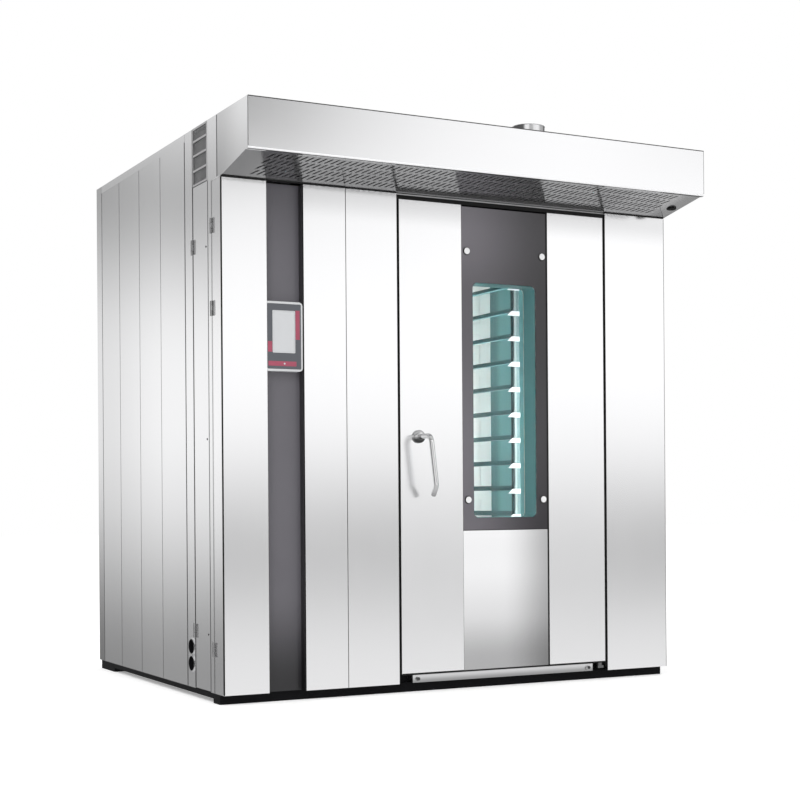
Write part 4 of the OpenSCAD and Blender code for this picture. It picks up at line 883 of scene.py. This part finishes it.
def side_pieces():
    """Dark mesh behind the grille, seals in the seams of both sides, the strip above the control
    door, and the sleeves of the two ports."""
    grille = span("side_grille")
    piece("grille_mesh", [bar((grille[1][0] + 0.3, grille[0][1] + 4, grille[0][2] + 4),
                              (grille[1][0] + 1.6, grille[1][1] - 4, grille[1][2] - 24), 0.5, 2)],
          "mesh_grey", "root")
    side, column = span("side_panels"), span("corner_posts")
    foot, rail, head = side[0][2] + 1, span("rear_panels")[1][2] - 1, column[1][2] - 2

    def seal(x, y, wide, low, high):
        """Upright seal, 0.6 mm proud of the left face at x or of the right face at x + 0.6."""
        return bar((x - 0.6, y - wide / 2, low), (x + 1.2, y + wide / 2, high), 0.5, 2)

    # depth and width of the seams of both sides; then those of the left side's front part, with
    # their lowest and highest point
    seals = [seal(x, y, wide, foot, rail)
             for y, wide in [(384, 7.5), (675, 1.8), (947, 1.8), (1223, 1.8), (1481, 4)]
             for x in (side[0][0], side[1][0] - 0.6)]
    seals += [seal(side[0][0], y, wide, low, high)
              for y, wide, low, high in ((132.4, 5, foot, 1942), (297.5, 2.4, foot, head),
                                         (94.5, 1.8, foot, 1936), (34, 6, 1938, head))]
    piece("side_seals", seals, "seam_grey", "root")
    over = span("control_door_panel")[1][2]
    piece("corner_infill", [bar((-0.4, 2, over + 0.8), (1.2, 91, over + 5.6), 0.5, 1)], "side_steel",
          "root")
    ports, flange = span("service_ports"), 4.6
    mid, r = (ports[0][1] + ports[1][1]) / 2, (ports[1][1] - ports[0][1]) / 2 - flange
    sleeve = [(r + 0.6, 0.1), (r + 0.2, 1.0), (r - 1.9, 1.0), (r - 2.3, 0), (r - 2.3, -36),
              (r - 1.7, -36), (r - 1.7, 0.1), (r + 0.6, 0.1)]
    sleeves = [lathe(sleeve, (ports[0][0] - 0.1, mid, z), "left", 28)
               for z in (ports[0][2] + r + flange, ports[1][2] - r - flange)]
    piece("port_sleeves", sleeves, "port_black", "root")


def screw_pieces():
    """Domed screws of the service door, the rear and the roof, and the bolts of the threshold."""
    screws = [lathe(dome(4.2, 2.2), (-0.1, 153, z), "left", 12) for z in (251, 981, 1700)]
    piece("service_screws", screws, "dark_grey_and_painted_shadow", "service_hatch")
    rear, roof, sill = span("rear_panels"), span("roof_panels"), span("threshold_bar")
    back = [lathe(dome(5, 2.6), (x, rear[1][1] + 0.1, z), "back", 10)
            for x in np.linspace(rear[0][0] + 12, rear[1][0] - 12, 9)
            for z in np.linspace(rear[0][2] + 30, rear[1][2] - 30, 7)]
    piece("rear_screws", back, "satin_steel", "root")
    tops = [lathe(dome(5, 2.4), (x, y, roof[1][2] + 0.1), "up", 10)
            for x in np.linspace(roof[0][0] + 14, roof[1][0] - 14, 9)
            for y in (roof[0][1] + 14, roof[1][1] - 14)]
    piece("roof_screws", tops, "satin_steel", "root")
    bolts = [lathe([(0, -0.5), (6.5, -0.5), (6.5, 2.2), (5.6, 3), (2.6, 3), (2.4, 1.5), (0, 1.5)],
                   (x, sill[0][1] - 0.1, (sill[0][2] + sill[1][2]) / 2), "front", 12)
             for x in (sill[0][0] + 22, sill[1][0] - 22)]
    piece("sill_bolts", bolts, "dark_grey_and_painted_shadow", "root")


# ---------------------------------------------------------------- inside

def chamber_pieces():
    """Shutters behind the air slots of the rear wall, bright with the wall's painted lamp light, the
    pressed ends of the rack's runners, and dark teal strips on its posts that are a painted shadow."""
    wall = span("rear_air_wall")
    y = wall[1][1] + 6
    shutters = [bar((x - 12, y, wall[0][2] + 20), (x + 52, y + 1.5, wall[1][2] - 20), 0.7, 2)
                for x in (wall[0][0] + 60, wall[1][0] - 100)]
    piece("slot_shutters", shutters, "air_wall", "root")
    rack = span("rack_frame")
    right, mid = rack[1][0], (rack[0][0] + rack[1][0]) / 2
    levels, lowest, pitch = 15, 248, 108       # the runners, from the floor
    outline = ((-60, -14), (1, -14), (1, 6), (-38, 6))     # from the rack's edge inwards, and up
    thick = 2.5
    ends = []
    for level in range(levels):
        z = lowest + pitch * level
        for y, out in ((rack[0][1] - 0.6, -1), (rack[1][1] + 0.6, 1)):
            for turn in (1, -1):
                flat = np.array([(mid + turn * (right - mid + u), z + v) for u, v in outline])
                rows = np.stack([np.insert(flat, 1, y + out * d, axis=-1) for d in (0, thick)])
                ends.append(capped(rows))
    piece("runner_ends", ends, "runner_white", "rotor")
    foot, head, post = 200, rack[1][2] - 40, 30            # the post's middle is 30 from the edge
    # dark teal strips beside each post, a painted shadow
    shadow_strips = [bar((x - 3, y - 2, foot), (x + 3, y + 12, head), 1, 2)
              for x in (mid + turn * (right - mid - post) for turn in (1, -1))
              for y in (rack[0][1] + 4, rack[1][1] - 14)]
    piece("post_painted_shadows", shadow_strips, "teal_painted_shadow", "rotor")


def cabinet_pieces():
    """What the control door hides: rows of contactors and terminals, ducts and wires."""
    gear = span("switchgear")
    x0, x1, y = gear[0][0] + 30, gear[1][0] - 130, gear[0][1] - 0.2
    rows = np.linspace(420, 1620, 6)
    rail, block, gap = 17, 40, 3               # half heights of both, and the gap between blocks
    hang = ((0, -24, 40), (0, -26, 70), (8, -18, 96), (8, -6, 112))   # a wire, from its block's middle
    blocks, rails, wires = [], [], []
    for k, z in enumerate(rows):
        rails.append(bar((x0, y - 7, z - rail), (x1, y - 0.1, z + rail), 2, 0))
        wide, deep = (36, 45, 54)[k % 3], (46, 54)[k % 2]
        for j in range(int((x1 - x0 - 10) // wide)):
            left = x0 + 5 + j * wide
            blocks.append(bar((left, y - deep, z - block), (left + wide - gap, y - 7.2, z + block),
                              3, 2))
            if j % 2 == 0:
                wires.append(tube(np.array(hang) + (left + wide / 2, y, z), 2.2, 6))
    ducts = [bar((x0 - 4, y - 30, z + 104), (x1 + 4, y - 0.2, z + 136), 2, 0) for z in rows]
    piece("contactors", blocks, "black_plastic", "root")
    piece("mounting_rails", rails, "dull_steel", "root")
    piece("cable_ducts", ducts, "grey_plastic", "root")
    piece("control_wires", wires, "wire_blue", "root")


make_camera()
make_world()
make_floor()
area_lamp("key_lamp", place=(-4.5, -5.0, 5.0), aim=(0, 0, 1.0), size=3.0, power=160)
area_lamp("top_lamp", place=(0.5, 0.0, 7.0), aim=(0, 0, 0), size=6.0, power=120)
dress_frame()
glass_pieces()
fixing_pieces()
leaf_pieces()
lever_piece()
front_pieces()
control_pieces()
hood_pieces()
side_pieces()
screw_pieces()
chamber_pieces()
cabinet_pieces()

bpy.context.scene.view_settings.view_transform = "Standard"
